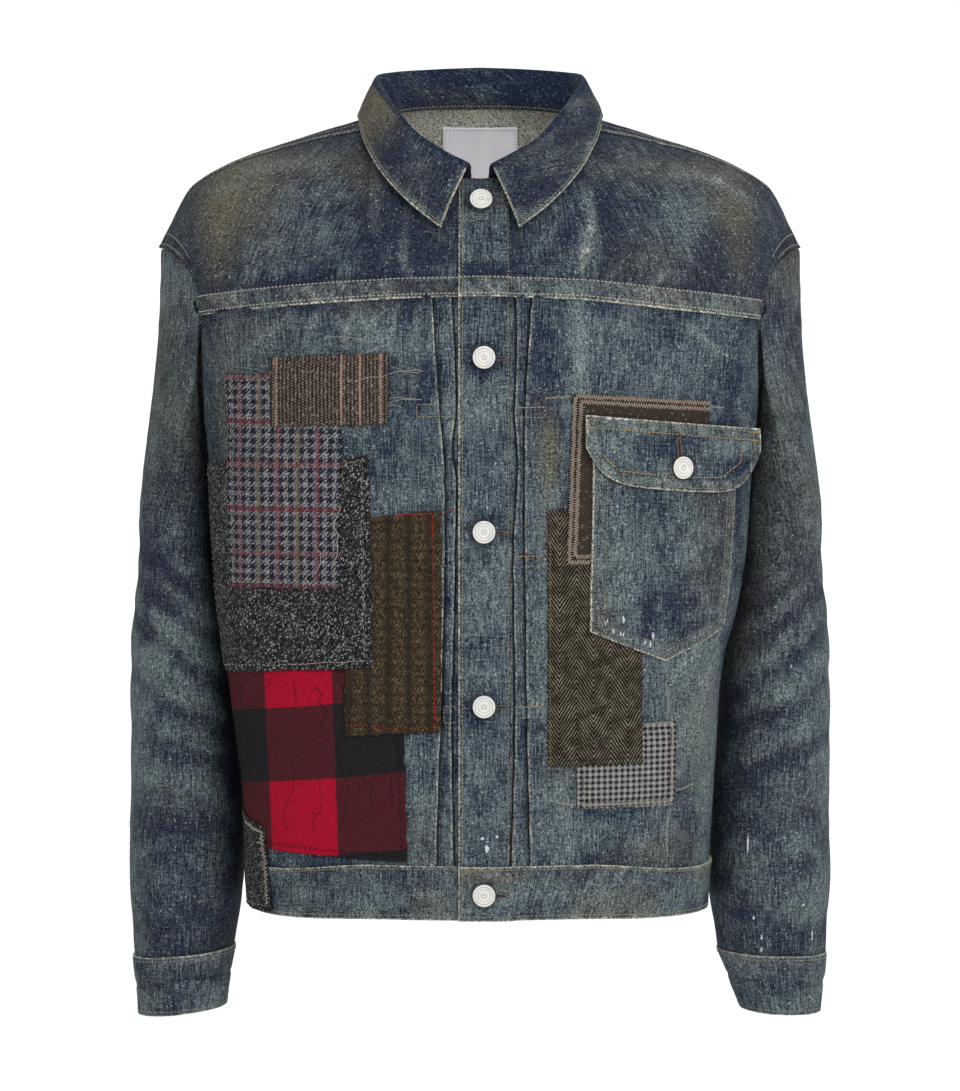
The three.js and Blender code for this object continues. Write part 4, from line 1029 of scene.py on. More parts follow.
# (start, end, width, height): folds of the lower fronts, by distance out and height
FRONT_FOLDS = {
    RIGHT: [
        ((52, -160), (58, -300), 7, 1.3), ((70, -150), (84, -200), 6, 1.2),
        ((96, -158), (78, -178), 4, 0.9), ((150, -160), (205, -212), 10, 1.6),
        ((120, -156), (128, -196), 7, 0.8), ((48, -500), (50, -590), 6, 1.2),
        ((205, -200), (222, -330), 12, -1.8), ((38, -420), (60, -450), 6, 0.8),
        ((190, -560), (150, -590), 7, 1.0), ((62, -225), (66, -300), 6, -1.0),
    ],
    LEFT: [
        ((77, -152), (76, -216), 5, 1.5), ((112, -154), (118, -206), 8, 0.9),
        ((158, -158), (188, -196), 6, 1.7), ((58, -160), (62, -296), 8, -0.9),
        ((200, -200), (216, -330), 12, -1.8), ((178, -404), (150, -455), 9, 1.6),
        ((170, -440), (140, -500), 9, 1.4), ((186, -430), (176, -500), 7, 1.4),
        ((160, -540), (100, -585), 8, 1.2), ((64, -520), (70, -588), 8, 1.4),
        ((100, -545), (112, -590), 8, -1.0), ((150, -500), (130, -560), 10, 1.0),
    ],
}
FRONT_FADE = {
    RIGHT: [
        (52, -215, 12, 70, -0.34), (80, -170, 40, 22, 0.26), (150, -180, 60, 40, 0.1),
        (64, -290, 20, 40, 0.12), (46, -540, 14, 60, 0.18), (215, -260, 22, 80, -0.1),
        (120, -152, 70, 8, -0.16), (46, -440, 12, 40, 0.1),
    ],
    LEFT: [
        (48, -190, 12, 50, -0.3), (76, -185, 9, 42, 0.4), (150, -190, 50, 34, 0.1), (54, -330, 9, 60, 0.3),
        (54, -420, 8, 70, 0.25), (200, -200, 18, 50, -0.28), (160, -560, 44, 40, -0.22),
        (182, -466, 26, 62, 0.5), (120, -560, 50, 30, 0.12), (190, -500, 16, 80, 0.3),
        (100, -575, 36, 16, -0.25), (216, -300, 20, 90, -0.05), (60, -560, 16, 40, 0.15),
    ],
}
FRONT_TAN = {
    RIGHT: [(204, -235, 16, 46, 0.55), (180, -170, 40, 20, 0.25), (46, -560, 20, 40, 0.22),
            (90, -152, 20, 10, 0.3)],
    LEFT: [
        (52, -262, 9, 34, 0.75), (52, -325, 8, 26, 0.3), (140, -575, 40, 18, 0.35),
        (196, -330, 14, 70, 0.22), (60, -480, 12, 50, 0.18), (170, -480, 30, 60, 0.28),
    ],
}
FRONT_WEAR = {
    RIGHT: [
        ((47, -152), (48, -215), 1.6, 0.5), ((79, -158), (86, -176), 1.2, 0.7),
        ((97, -156), (103, -180), 1.2, 0.6), ((64, -150), (66, -178), 1.4, 0.5),
        ((125, -156), (131, -172), 1.6, 0.4), ((60, -198), (56, -262), 2.2, 0.25),
        ((152, -162), (176, -182), 1.5, 0.25), ((112, -157), (96, -170), 1.2, 0.5),
        ((44, -270), (47, -300), 1.2, 0.3),
    ],
    LEFT: [
        ((76, -150), (75, -220), 2.0, 0.55), ((160, -166), (180, -183), 1.6, 0.55),
        ((183, -184), (192, -188), 1.4, 0.4), ((170, -412), (140, -446), 2.2, 0.34),
        ((186, -436), (150, -492), 2.4, 0.34), ((172, -470), (150, -520), 2.0, 0.3),
        ((128, -528), (160, -566), 2.0, 0.25), ((62, -508), (68, -580), 1.8, 0.25),
        ((112, -150), (122, -168), 1.4, 0.4), ((196, -400), (182, -440), 2.0, 0.3),
        ((92, -548), (130, -572), 1.8, 0.22),
    ],
}


def front_pleats(side, out, z, covered):
    total = 0
    for edge in pleat_edges[side]:
        away = out - edge(z)
        rise = smooth(-6, 0, away) if covered else smooth(-0.5, 0.6, away)
        held = 1 - 0.35 * sum(bump(z - bar, 7) for bar in BAR_HEIGHTS)
        total += PLEAT_HEIGHT * rise * (1 - smooth(2, 11, away)) * held
    return total


def front_relief(side, out, z, covered=False):
    """Height of the front cloth over the plain body: placket, pleats, folds and puckers."""
    x = np.abs(out)
    lift = front_pleats(side, out, z, covered)
    if side == LEFT:
        lift += PLACKET_LIFT * (1 - smooth(20.5, 27, out))
        lift = lift - 0.28 * bump(out - 21.5, 1.1) - 0.22 * bump(out + 13.2, 0.9)
        lift += 0.22 * wander(z, 5, 5) * (bump(out - 17, 5) + bump(out + 9, 4))
    lift = lift + creases(out, z, FRONT_FOLDS[side]) + 0.9 * cloud(out, z, 55, 3 + side)
    lift += 0.22 * cloud(out, z, 9, 9 + side)
    top = yoke_seam(side, x) - z
    lift += 0.45 * fading(top, 9) * wander(x + top * 0.4, 5.5, 20 + side) * smooth(24, 30, x)
    hem = z - hem_top(x)
    return lift + 0.5 * fading(hem, 12) * wander(x - hem * 0.2, 6.5, 30 + side) * smooth(24, 30, x)


def front_at(side, out, z, extra=0.0):
    """Point and normal on the finished front cloth."""
    return skin(side, angle_at(side, out, z), z, front_relief(side, out, z) + extra)


def front_paint(side, out, z):
    x = np.abs(out)
    fade_and_shade = 0.46 + spots(x, z, FRONT_FADE[side]) - 0.24 * fading(yoke_seam(side, x) - z, 13)
    tan = 0.04 + spots(x, z, FRONT_TAN[side])
    wear = scuffs(x + 3 * wander(z, 11, 5), z, FRONT_WEAR[side], 0.8, 1.7)
    wear *= (out > 22)
    folds = creases(out, z, FRONT_FOLDS[side])
    # Fold ridges lighter and troughs darker: partly rubbed wear, partly painted highlight and shade
    fade_and_shade += 0.1 * np.clip(folds, -1.5, 1.5)
    # Painted shadow under the lapped edge of the yoke
    painted_shade = 0.3 * fading(yoke_seam(side, x) - z, 3.0)
    below = crests(z - hem_top(x))
    fade_and_shade -= 0.16 * np.exp(-below / 6)
    # Painted shade towards the side, where the sleeve shades the body; stronger on the right front
    painted_shade += (0.3 if side == RIGHT else 0.05) * smooth(200, 236, x)
    if side == LEFT:
        flat = 1 - smooth(20, 22, out)
        fade_and_shade += flat * (0.12 + 0.1 * wander(z, 28, 6) - 0.25 * bump(z + 160, 16))
        wear = wear + 0.85 * smooth(-14.6, -16.1, out) + 0.12 * bump(out - 24.5, 1.4)
        # Painted shade in the furrows of the two placket stitch rows
        painted_shade = painted_shade + 0.25 * bump(out - 21.5, 0.8) + 0.16 * bump(out + 13.2, 0.8)
        # Painted shade round each button: a dark ring in its shadow and a wider darker halo
        for height in FRONT_BUTTONS:
            ring = np.hypot(out - 3, z - height)
            painted_shade += 0.4 * bump(ring - 9.2, 3.0)
            fade_and_shade -= 0.35 * bump(ring - 12, 6)
    return fade_and_shade, tan, wear, painted_shade


def lower_front(side):
    edges = pleat_edges[side]
    if side == LEFT:
        flat = [-16.5, -16.2, -15.6, -14.8, -13.9, -13.2, -12.5, -11.2, *np.arange(-9, 19, 2.5),
                19.6, 20.6, 21.5, 22.4]
    else:
        flat = list(np.arange(-UNDERLAP_EDGE, 16.1, 3.0))
    # Each folded edge turns under itself: (past the edge, height, wear, shadow)
    ring = [(-1.8, -0.1, 0, 0.55), (-0.9, -0.3, 0, 0.85), (0.5, -0.4, 0, 1.0), (0.2, 0.1, 0.0, 0.9),
            (-0.3, 0.6, 0.35, 0.2), (-0.4, 1.15, 0.75, 0), (-0.1, 1.65, 0.9, 0), (0.5, 1.9, 0.75, 0),
            (1.1, 1.95, 0.35, 0), (2.0, 1.9, 0.1, 0)]
    t = ladder(0, 1, 0.0072, (0.0023, 0.0046, 0.0069, 0.0095, 0.013))[:, None]

    def inner_outs(z):
        e0, e1 = edges[0](z), edges[1](z)
        e0 += 0.35 * wander(z, 13, 40 + side)
        e1 += 0.35 * wander(z, 11, 42 + side)
        columns = [np.full_like(z, out) for out in flat]
        columns += [mix(flat[-1], e0 - 1.8, f) for f in (0.35, 0.7)]
        columns += [e0 + past for past, _, _, _ in ring]
        columns += [mix(e0 + 2.0, e1 - 1.8, f) for f in (0.3, 0.65)]
        columns += [e1 + past for past, _, _, _ in ring]
        columns += [e1 + past for past in (4.2, 6.6, 9.0)]
        return np.concatenate(columns, 1)

    outer_share = np.linspace(0, 1, 71)[1:]

    def angle_of(z):
        column = z[:, :1]
        outs = inner_outs(column)
        inner = angle_at(side, outs, column)
        far = front_seam_angle(column) - 0.1
        return np.concatenate([inner, mix(inner[:, -1:], far, outer_share)], 1)

    count = len(flat) + 4 + 2 * len(ring) + 3
    total = count + len(outer_share)
    z = mix(-150.0, HEM_TOP, t) * np.ones((1, total))
    for _ in range(3):
        x = np.abs(body(side, angle_of(z), z)[..., 0])
        z = mix(yoke_seam(side, x) + 2.6, hem_top(x) - 3, t)
    angle = angle_of(z)
    out = out_at(side, angle, z)
    lift = front_relief(side, out, z)
    wear_more, shadow = np.zeros_like(lift), np.zeros_like(lift)
    firsts = (len(flat) + 2, len(flat) + 4 + len(ring))
    for k, first in enumerate(firsts):
        edge = edges[k](z[:, first:first + 1])
        held = 1 - 0.35 * sum(bump(z[:, first:first + 1] - bar, 7) for bar in BAR_HEIGHTS)
        base = front_relief(side, edge + 0 * held, z[:, first:first + 1]) - PLEAT_HEIGHT * 0.9 * held
        for i, (_, height, wear, dark) in enumerate(ring):
            lift[:, first + i] = (base + height * held)[:, 0]
            wear_more[:, first + i] = wear * (0.75 + 0.25 * wander(z[:, first], 8, 50 + k))
            shadow[:, first + i] = dark
    tuck = smooth(-1.0, 1.8, z - yoke_seam(side, np.abs(out))) + smooth(1.0, -1.8, z - hem_top(np.abs(out)))
    lift -= 1.2 * tuck
    fade_and_shade, tan, wear, painted_shade = front_paint(side, out, z)
    outer, normal = skin(side, angle, z, lift)
    inner = outer - normal * DENIM
    across = lengths_over(body(side, angle, z), rows=False)
    paint = vec(fade_and_shade, tan, wear + wear_more)
    # The third place value is painted shade: the front's own, the shadow under each folded pleat edge, and the
    # tucks at the yoke and hem seams
    place = vec(across, z, np.clip(painted_shade + shadow + 0.5 * tuck, 0, 1))
    return wall(f"lower_front_{SIDE_NAME[side]}", outer, inner, paint, place, "denim",
                f"front_{SIDE_NAME[side]}", "denim")


front_pieces = {side: lower_front(side) for side in (RIGHT, LEFT)}


def lower_back():
    t = ladder(0, 1, 0.0115, (0.0023, 0.005, 0.008, 0.012))[:, None]
    across = ladder(-1, 1, 0.019, (0.002, 0.005, 0.009))[None, :]
    z = mix(-150.0, HEM_TOP, t) * np.ones_like(across)
    for _ in range(3):
        x = np.abs(body(LEFT, back_angle(np.abs(across), back_seam_angle(z) + 0.1, z), z)[..., 0])
        z = mix(back_yoke_seam(x) + 2.6, hem_top(x) - 3, t)
    angle = back_angle(np.abs(across), back_seam_angle(z) + 0.1, z)
    sides = np.where(across < 0, RIGHT, LEFT) * np.ones_like(z)
    point = body(sides, angle, z)
    normal = grid_normals(point, False, BACKWARD)
    x = point[..., 0]
    folds = creases(x, z, [
        ((-150, -200), (-60, -330), 16, 1.8), ((150, -210), (70, -320), 16, 1.8),
        ((-170, -330), (-90, -430), 14, 1.6), ((165, -340), (95, -450), 14, 1.6),
        ((-40, -480), (60, -560), 16, 1.2), ((30, -400), (-50, -520), 16, 1.0),
        ((-130, -480), (-150, -580), 12, 1.6), ((120, -480), (145, -580), 12, 1.6),
        ((0, -170), (6, -300), 18, 0.9),
    ])
    top, hem = back_yoke_seam(x) - z, z - hem_top(x)
    lift = folds + cloud(x, z, 60, 71) + 0.25 * cloud(x, z, 10, 72)
    lift += 0.4 * fading(top, 9) * wander(x + top * 0.4, 6, 73)
    lift += 0.5 * fading(hem, 12) * wander(x - hem * 0.2, 7, 74)
    tuck = smooth(-1.0, 1.8, -top) + smooth(1.0, -1.8, hem)
    lift -= 1.2 * tuck
    outer = point + normal * lift[..., None]
    # Fold ridges lighter and troughs darker: partly wear, partly painted highlight and shade
    fade_and_shade = 0.5 + 0.12 * np.clip(folds, -1.5, 1.5) + 0.18 * cloud(x, z, 70, 75) - 0.2 * fading(top, 10)
    tan = 0.1 + 0.22 * crests(cloud(x, z, 90, 76))
    wear = 0.25 * np.clip(folds - 1.0, 0, 1)
    # Painted shade below the yoke seam and at the tucks under the seams
    painted_shade = 0.3 * fading(top, 3) + 0.5 * tuck
    walked = lengths_over(point, rows=False)
    return wall("lower_back", outer, outer - normal * DENIM, vec(fade_and_shade, tan, wear),
                vec(walked, z, np.clip(painted_shade, 0, 1)), "denim", "back", "denim")


back_piece = lower_back()

# ---------- yokes ----------

YOKE_FOLDS = {
    RIGHT: [
        ((62, -60), (72, -128), 7, 1.4), ((96, -50), (82, -140), 9, -0.9),
        ((150, -60), (190, -120), 14, 1.2), ((110, -134), (104, -112), 5, 0.8),
        ((60, -140), (72, -120), 5, 0.9), ((205, -80), (216, -150), 8, 1.2),
    ],
    LEFT: [
        ((85, -35), (88, -136), 6, 1.9), ((88, -130), (80, -142), 4, 1.2),
        ((150, -20), (205, -60), 8, 1.2), ((134, -124), (125, -140), 5, 0.9),
        ((110, -60), (130, -120), 12, -0.9), ((40, -100), (56, -130), 8, 0.8),
    ],
}
YOKE_WEAR = {
    RIGHT: [
        ((54, -70), (60, -100), 1.8, 0.22), ((60, -100), (61, -112), 1.8, 0.35),
        ((61, -112), (55, -124), 1.5, 0.5), ((84, -58), (82, -90), 2.2, 0.25),
        ((120, -36), (170, -38), 3.0, 0.42), ((178, -40), (204, -58), 4.0, 0.35),
        ((30, -100), (44, -80), 1.6, 0.22),
    ],
    LEFT: [
        ((84, -62), (85, -92), 1.9, 0.42), ((85, -92), (83, -108), 2.0, 0.75),
        ((83, -108), (77, -123), 1.6, 0.9), ((96, -40), (104, -48), 1.8, 0.35),
        ((150, -44), (190, -50), 2.6, 0.55), ((190, -50), (208, -62), 2.4, 0.5),
        ((132, -136), (143, -124), 1.5, 0.6), ((98, -128), (108, -120), 1.4, 0.3),
        ((54, -100), (62, -84), 1.6, 0.25), ((130, -80), (132, -110), 3.0, 0.18),
    ],
}
YOKE_FADE = {
    RIGHT: [
        (150, -90, 60, 40, 0.2), (60, -80, 24, 60, -0.42), (130, -135, 80, 9, -0.3),
        (34, -110, 20, 30, -0.06), (66, -112, 10, 26, 0.3), (196, -120, 30, 30, -0.1),
        (60, -135, 30, 10, -0.2),
    ],
    LEFT: [
        (150, -80, 50, 44, 0.34), (98, -70, 9, 50, -0.34), (190, -110, 22, 26, -0.42),
        (140, -135, 50, 8, -0.22), (60, -80, 26, 40, 0.02), (84, -108, 9, 30, 0.34),
        (44, -120, 20, 16, -0.16),
    ],
}
YOKE_TAN = {
    RIGHT: [(190, -60, 34, 40, 0.75), (130, -36, 60, 16, 0.35), (86, -50, 14, 20, 0.3),
            (205, -95, 14, 40, 0.5)],
    LEFT: [(196, -66, 22, 28, 0.6), (150, -40, 60, 12, 0.35), (130, -120, 40, 24, 0.2),
           (204, -110, 14, 30, 0.35)],
}


def yoke_height(side, x, z):
    """Height above the yoke seam."""
    return z - yoke_seam(side, x)


def yoke_relief(side, point):
    x, z = np.abs(point[..., 0]), point[..., 2]
    up = yoke_height(side, x, z)
    lift = 1.0 * (1 - smooth(13.5, 17, up))
    lift -= 0.3 * (bump(up - 1.9, 0.9) + bump(up - 14.0, 0.9))
    rope = wander(point[..., 0] + up * 0.7, 3.4, 81 + side)
    lift += 0.3 * rope * smooth(1, 3, up) * (1 - smooth(11, 14, up))
    lift = lift + creases(x, z, YOKE_FOLDS[side]) + 0.8 * cloud(x, z, 50, 82 + side) + 0.2 * cloud(x, z, 9, 84)
    lift += 0.35 * fading(up - 14, 8) * wander(point[..., 0] - up * 0.3, 6, 85)
    if side == LEFT:
        flat = 1 - smooth(20.5, 24, point[..., 0])
        lift = lift + PLACKET_LIFT * flat - 0.25 * bump(point[..., 0] - 21.5, 1.0)
    return lift, up, rope


def front_yoke(side):
    start = PLACKET_START if side == LEFT else UNDERLAP_START
    if side == LEFT:
        outs = [-16.5, -16.2, -15.6, -14.8, -13.9, -13.2, -12.5, *np.arange(-10, 19, 3.0), 20.5, 21.5, 22.5, 24]
        outs += list(np.arange(27, 78, 3.0))
    else:
        outs = list(np.arange(-17, 78, 3.0))
    turn = np.degrees(np.arcsin(np.array(outs) / NECK_HALF))
    near = YOKE_SPLIT * (turn - start) / (NECK_SHOULDER_ANGLE - start)
    near = np.r_[near, np.linspace(near[-1], YOKE_SPLIT, 9)[1:-1]]
    s = np.r_[near, mix(YOKE_SPLIT, 0.9996, ladder(0, 1, 0.016, (0.004, 0.009, 0.015, 0.024)))][None, :]
    v = np.r_[-0.008, -0.004, 0, 0.004, 0.009, 0.015, 0.024, 0.036, 0.05, 0.064, 0.074, 0.084, 0.094,
              np.linspace(0.11, 0.78, 38), np.linspace(0.788, 0.985, 36), 1.0][:, None]
    point = front_yoke_point(side, start, s, v)
    normal = grid_normals(point, False, FRONTWARD)
    lift, up, rope = yoke_relief(side, point)
    x, z = np.abs(point[..., 0]), point[..., 2]
    edge_band = smooth(0.955, 0.962, s) * np.ones_like(z)
    lift = lift + 0.5 * edge_band - 0.25 * bump((s - 0.963) * 240, 0.9)
    strip = 1 - v - STRIP_WIDTH(s)
    strip = np.where(s > YOKE_SPLIT - 0.02, strip, 1)
    over = 1 - smooth(-0.004, 0.004, strip)
    lift = lift + 1.1 * over - 0.3 * bump(strip + 0.014, 0.005) * over
    outer = point + normal * lift[..., None]
    band = 1 - smooth(12.8, 14.4, up)
    # Fold ridges lighter and troughs darker: partly wear, partly painted highlight and shade
    fade_and_shade = 0.15 + spots(x, z, YOKE_FADE[side]) + 0.1 * np.clip(creases(x, z, YOKE_FOLDS[side]), -1.5, 1.5)
    fade_and_shade += band * (0.26 + 0.36 * cloud(point[..., 0], z, 17, 86 + side) + 0.16 * rope)
    tan = 0.08 + spots(x, z, YOKE_TAN[side]) + band * (0.14 + 0.3 * crests(cloud(x, z, 24, 88 + side)))
    wear = scuffs(x + 3 * wander(z, 10, 7), z, YOKE_WEAR[side], 0.7, 1.8)
    wear = wear + 0.85 * (1 - smooth(-0.9, 0.9, up)) * smooth(0.99, 0.95, s)
    wear = wear + 0.55 * band * crests(rope) * smooth(0, 0.8, rope)
    wear += 0.35 * bump(up - 13.8, 1.2) * crests(wander(x, 9, 89))
    wear += band * 0.45 * crests(cloud(x, z, 14, 92 + side) - 0.25)
    wear += 0.7 * bump(strip + 0.004, 0.006)
    # Painted shade: a dark line under the edge of the back-yoke strip, a line below the seam band, and the
    # armhole seam furrow
    painted_shade = 0.95 * bump(strip - 0.01, 0.008) + 0.28 * bump(up - 15.5, 1.6)
    painted_shade = painted_shade + 0.3 * smooth(0.962, 0.972, s) * (1 - smooth(0.972, 0.99, s))
    if side == LEFT:
        flat = 1 - smooth(20, 22, point[..., 0])
        fade_and_shade += flat * (0.46 - 0.75 * bump(z + 125, 8) + 0.12 * wander(z, 16, 93))
        wear += 0.8 * smooth(-14.8, -16.1, point[..., 0])
        painted_shade += 0.2 * bump(point[..., 0] - 21.5, 0.8)
        # Painted shade round the top button
        ring = np.hypot(point[..., 0] - 0.8, (z + 68.9))
        painted_shade += 0.35 * bump(ring - 9.2, 3.0)
        fade_and_shade -= 0.3 * bump(ring - 12, 6)
    walked = lengths_over(point, rows=False)
    paint = vec(fade_and_shade, tan, wear)
    place = vec(walked, z, np.clip(painted_shade, 0, 1))
    made = wall(f"front_yoke_{SIDE_NAME[side]}", outer, outer - normal * DENIM, paint, place, "denim",
                f"yoke_front_{SIDE_NAME[side]}", "denim_dark")
    return made, outer, normal, up, s, v


yoke_pieces = {side: front_yoke(side) for side in (RIGHT, LEFT)}


def back_yoke():
    half = np.r_[np.linspace(0, BACK_SPLIT, 22),
                 mix(BACK_SPLIT, 0.9996, ladder(0, 1, 0.024, (0.004, 0.01, 0.018)))[1:]]
    s = np.r_[-half[::-1][:-1], half][None, :]
    v = np.r_[-0.008, 0, 0.008, 0.02, 0.04, 0.06, 0.075, 0.09, np.linspace(0.12, 0.97, 34), 0.985, 1.0][:, None]
    point = back_yoke_point(s, v)
    normal = grid_normals(point, False, BACKWARD)
    x, z = point[..., 0], point[..., 2]
    up = z - back_yoke_seam(x)
    rope = wander(x + up * 0.7, 3.6, 101)
    lift = 1.0 * (1 - smooth(12.5, 16, up)) - 0.3 * (bump(up - 1.9, 0.9) + bump(up - 13.2, 0.9))
    lift = lift + 0.3 * rope * smooth(1, 3, up) * (1 - smooth(11, 14, up)) + 0.8 * cloud(x, z, 55, 102)
    lift = lift + 0.5 * smooth(0.955, 0.962, np.abs(s)) - 0.25 * bump((np.abs(s) - 0.963) * 260, 0.9)
    outer = point + normal * lift[..., None]
    band = 1 - smooth(12, 13.6, up)
    fade_and_shade = 0.26 + 0.2 * cloud(x, z, 60, 103) + band * 0.2 * (rope + cloud(x, z, 20, 104))
    tan = 0.22 + 0.3 * crests(cloud(x, z, 70, 105)) + 0.25 * smooth(0.85, 1, v)
    wear = 0.8 * (1 - smooth(-0.9, 0.9, up)) + 0.3 * band * crests(rope)
    # Painted shade below the yoke seam band
    painted_shade = 0.28 * bump(up - 15, 1.6) + 0 * z
    walked = lengths_over(point, rows=False)
    made = wall("yoke_back", outer, outer - normal * DENIM, vec(fade_and_shade, tan, wear),
                vec(walked, z, painted_shade), "denim", "back_yoke", "denim_dark")
    return made, outer, normal, up, s, v


back_yoke_piece = back_yoke()

# ---------- sleeves and cuffs ----------

# (height at the front, slant, width, depth) of the drag folds across the elbow
ELBOW_FOLDS = {
    LEFT: [(-372, 26, 11, -2.4), (-404, 32, 10, -3.0), (-438, 30, 11, -2.8), (-470, 26, 10, -2.6),
           (-512, 22, 13, -1.8),
           (-560, 10, 12, -1.0), (-640, -6, 9, -1.1)],
    RIGHT: [(-364, 24, 11, -2.2), (-396, 30, 10, -2.8), (-430, 34, 11, -3.0), (-470, 30, 10, -2.6),
            (-505, 20, 13, -2.0),
            (-556, 12, 12, -1.0), (-642, -6, 9, -1.1)],
}


def sleeve_fold(side, share, z):
    facing = crests(np.cos((share - 0.22) * 2 * np.pi)) ** 0.7
    total = 0
    for k, (height, slant, width, depth) in enumerate(ELBOW_FOLDS[side]):
        crest = height + slant * np.cos(share * 2 * np.pi) + 3 * wander(share * 100, 9, 110 + k)
        total += depth * facing * bump(z - crest, width)
    behind = crests(-np.cos((share - 0.22) * 2 * np.pi))
    for height, slant in ((-330, -20), (-420, 16), (-500, -14), (-580, 10)):
        total -= 1.8 * behind * bump(z - height - slant * np.cos(share * 2 * np.pi), 14)
    return total


def sleeve(side):
    share = np.linspace(0, 1, 97)[:-1][None, :]
    t = np.r_[0, 0.001, 0.003, 0.006, 0.01, 0.016, 0.024, np.linspace(0.032, 0.985, 150),
              0.992, 0.997, 1.004][:, None]
    point = sleeve_point(side, share, t)
    normal = grid_normals(point, True, (-side, 0, 0))
    z = point[..., 2]
    around = share * SLEEVE_ROUND + 0 * z
    fold = sleeve_fold(side, share, z)
    start = armhole_point(side, share)[..., 2]
    down = start - z
    hem = z - cuff_seam(side, share)
    lift = fold + 0.7 * cloud(around, z, 38, 120 + side) + 0.2 * cloud(around, z, 9, 122)
    lift += 0.5 * fading(down, 9) * wander(around, 7, 123)
    lift += 0.8 * fading(hem, 16) * wander(around, 11, 124)
    lift -= 1.0 * smooth(2.0, -1.0, hem)
    outer = point + normal * lift[..., None]
    facing = crests(np.cos((share - 0.22) * 2 * np.pi))
    fade_and_shade = 0.29 - 0.16 * smooth(-420, -300, z) + 0.26 * cloud(around, z, 48, 125 + side)
    # Fold ridges lighter and troughs darker: partly wear, partly painted highlight and shade
    fade_and_shade = fade_and_shade + 0.22 * np.clip(fold + 1.0, -1.6, 1.2)
    fade_and_shade = fade_and_shade + 0.24 * bump(z + 450, 80) * facing - 0.2 * fading(down, 9)
    # Painted shade on the side of the sleeve next to the body, deeper on the right sleeve
    fade_and_shade = fade_and_shade - (0.4 if side == RIGHT else 0.1) * smooth(0.33, 0.47, share) * (1 - smooth(0.55, 0.7, share))
    # Painted light and shade: the outer side lighter, the side towards the body darker
    fade_and_shade = fade_and_shade + 0.1 * np.cos(share * 2 * np.pi)
    tan = 0.1 + 0.35 * crests(cloud(around, z, 60, 126 + side)) + 0.25 * bump(z + 240, 60) * facing
    wear = 0
    for k, (height, slant, width, _) in enumerate(ELBOW_FOLDS[side][:5]):
        for shift in (-width * 0.95, width * 0.9):
            crest = height + shift + slant * np.cos(share * 2 * np.pi) + 3 * wander(share * 100, 9, 110 + k)
            streak = crests(wander(share * 100 + shift, 7, 130 + k))
            wear += 0.55 * facing * streak * bump(z - crest, 3.2)
    wear += 0.2 * crests(cloud(around * 0.3 + z * 0.2, z - around * 0.2, 4, 131)) * bump(z + 450, 60) * facing
    wear += 0.25 * crests(wander(around, 12, 132)) * bump(share - 0.06, 0.03) * bump(z + 300, 160)
    # Painted shade at the armhole and cuff seams, in the hollow between sleeve and body, and in the fold's
    # shadow at the front of the armhole
    painted_shade = 0.25 * fading(down, 3) + 0.35 * smooth(3, 0, hem)
    hollow_shade = (0.66 * smooth(0.27, 0.42, share) if side == RIGHT else 0.3 * smooth(0.36, 0.46, share))
    painted_shade += hollow_shade * (1 - smooth(0.52, 0.62, share)) * (0.5 + 0.5 * smooth(-640, -560, z))
    painted_shade += 0.4 * fading(down, 45) * smooth(0.14, 0.26, share) * (1 - smooth(0.5, 0.6, share))
    up = unit(outer[:1] - outer[6:7])
    inward = np.sin(share * 2 * np.pi)[..., None] * np.array([0, 1.0, 0])
    tuck = np.vstack([outer[:1] - normal[:1] * 5.5 + up * 9.0 + inward * 4.0,
                      outer[:1] - normal[:1] * 2.8 + up * 1.5 + inward * 2.5])
    toward = unit(outer.mean(axis=1, keepdims=True) - outer)
    near = (0.85 * smooth(-340, -250, z))[..., None]
    inner = np.vstack([tuck - normal[:1] * 0.8, outer + unit(mix(-normal, toward, near)) * DENIM])
    paint = vec(fade_and_shade, tan, wear + 0 * z)
    place = vec(around, z, np.clip(painted_shade, 0, 1))
    paint, place = np.vstack([paint[:1], paint[:1], paint]), np.vstack([place[:1], place[:1], place])
    # Painted shade on the turned rows inside the armhole
    place[:2, :, 2] = 0.88
    made = wall(f"sleeve_cloth_{SIDE_NAME[side]}", np.vstack([tuck, outer]), inner, paint, place, "denim",
                f"sleeve_{SIDE_NAME[side]}", "denim", wrapped=True, turned=7)
    return made, outer, normal


sleeve_pieces = {side: sleeve(side) for side in (RIGHT, LEFT)}


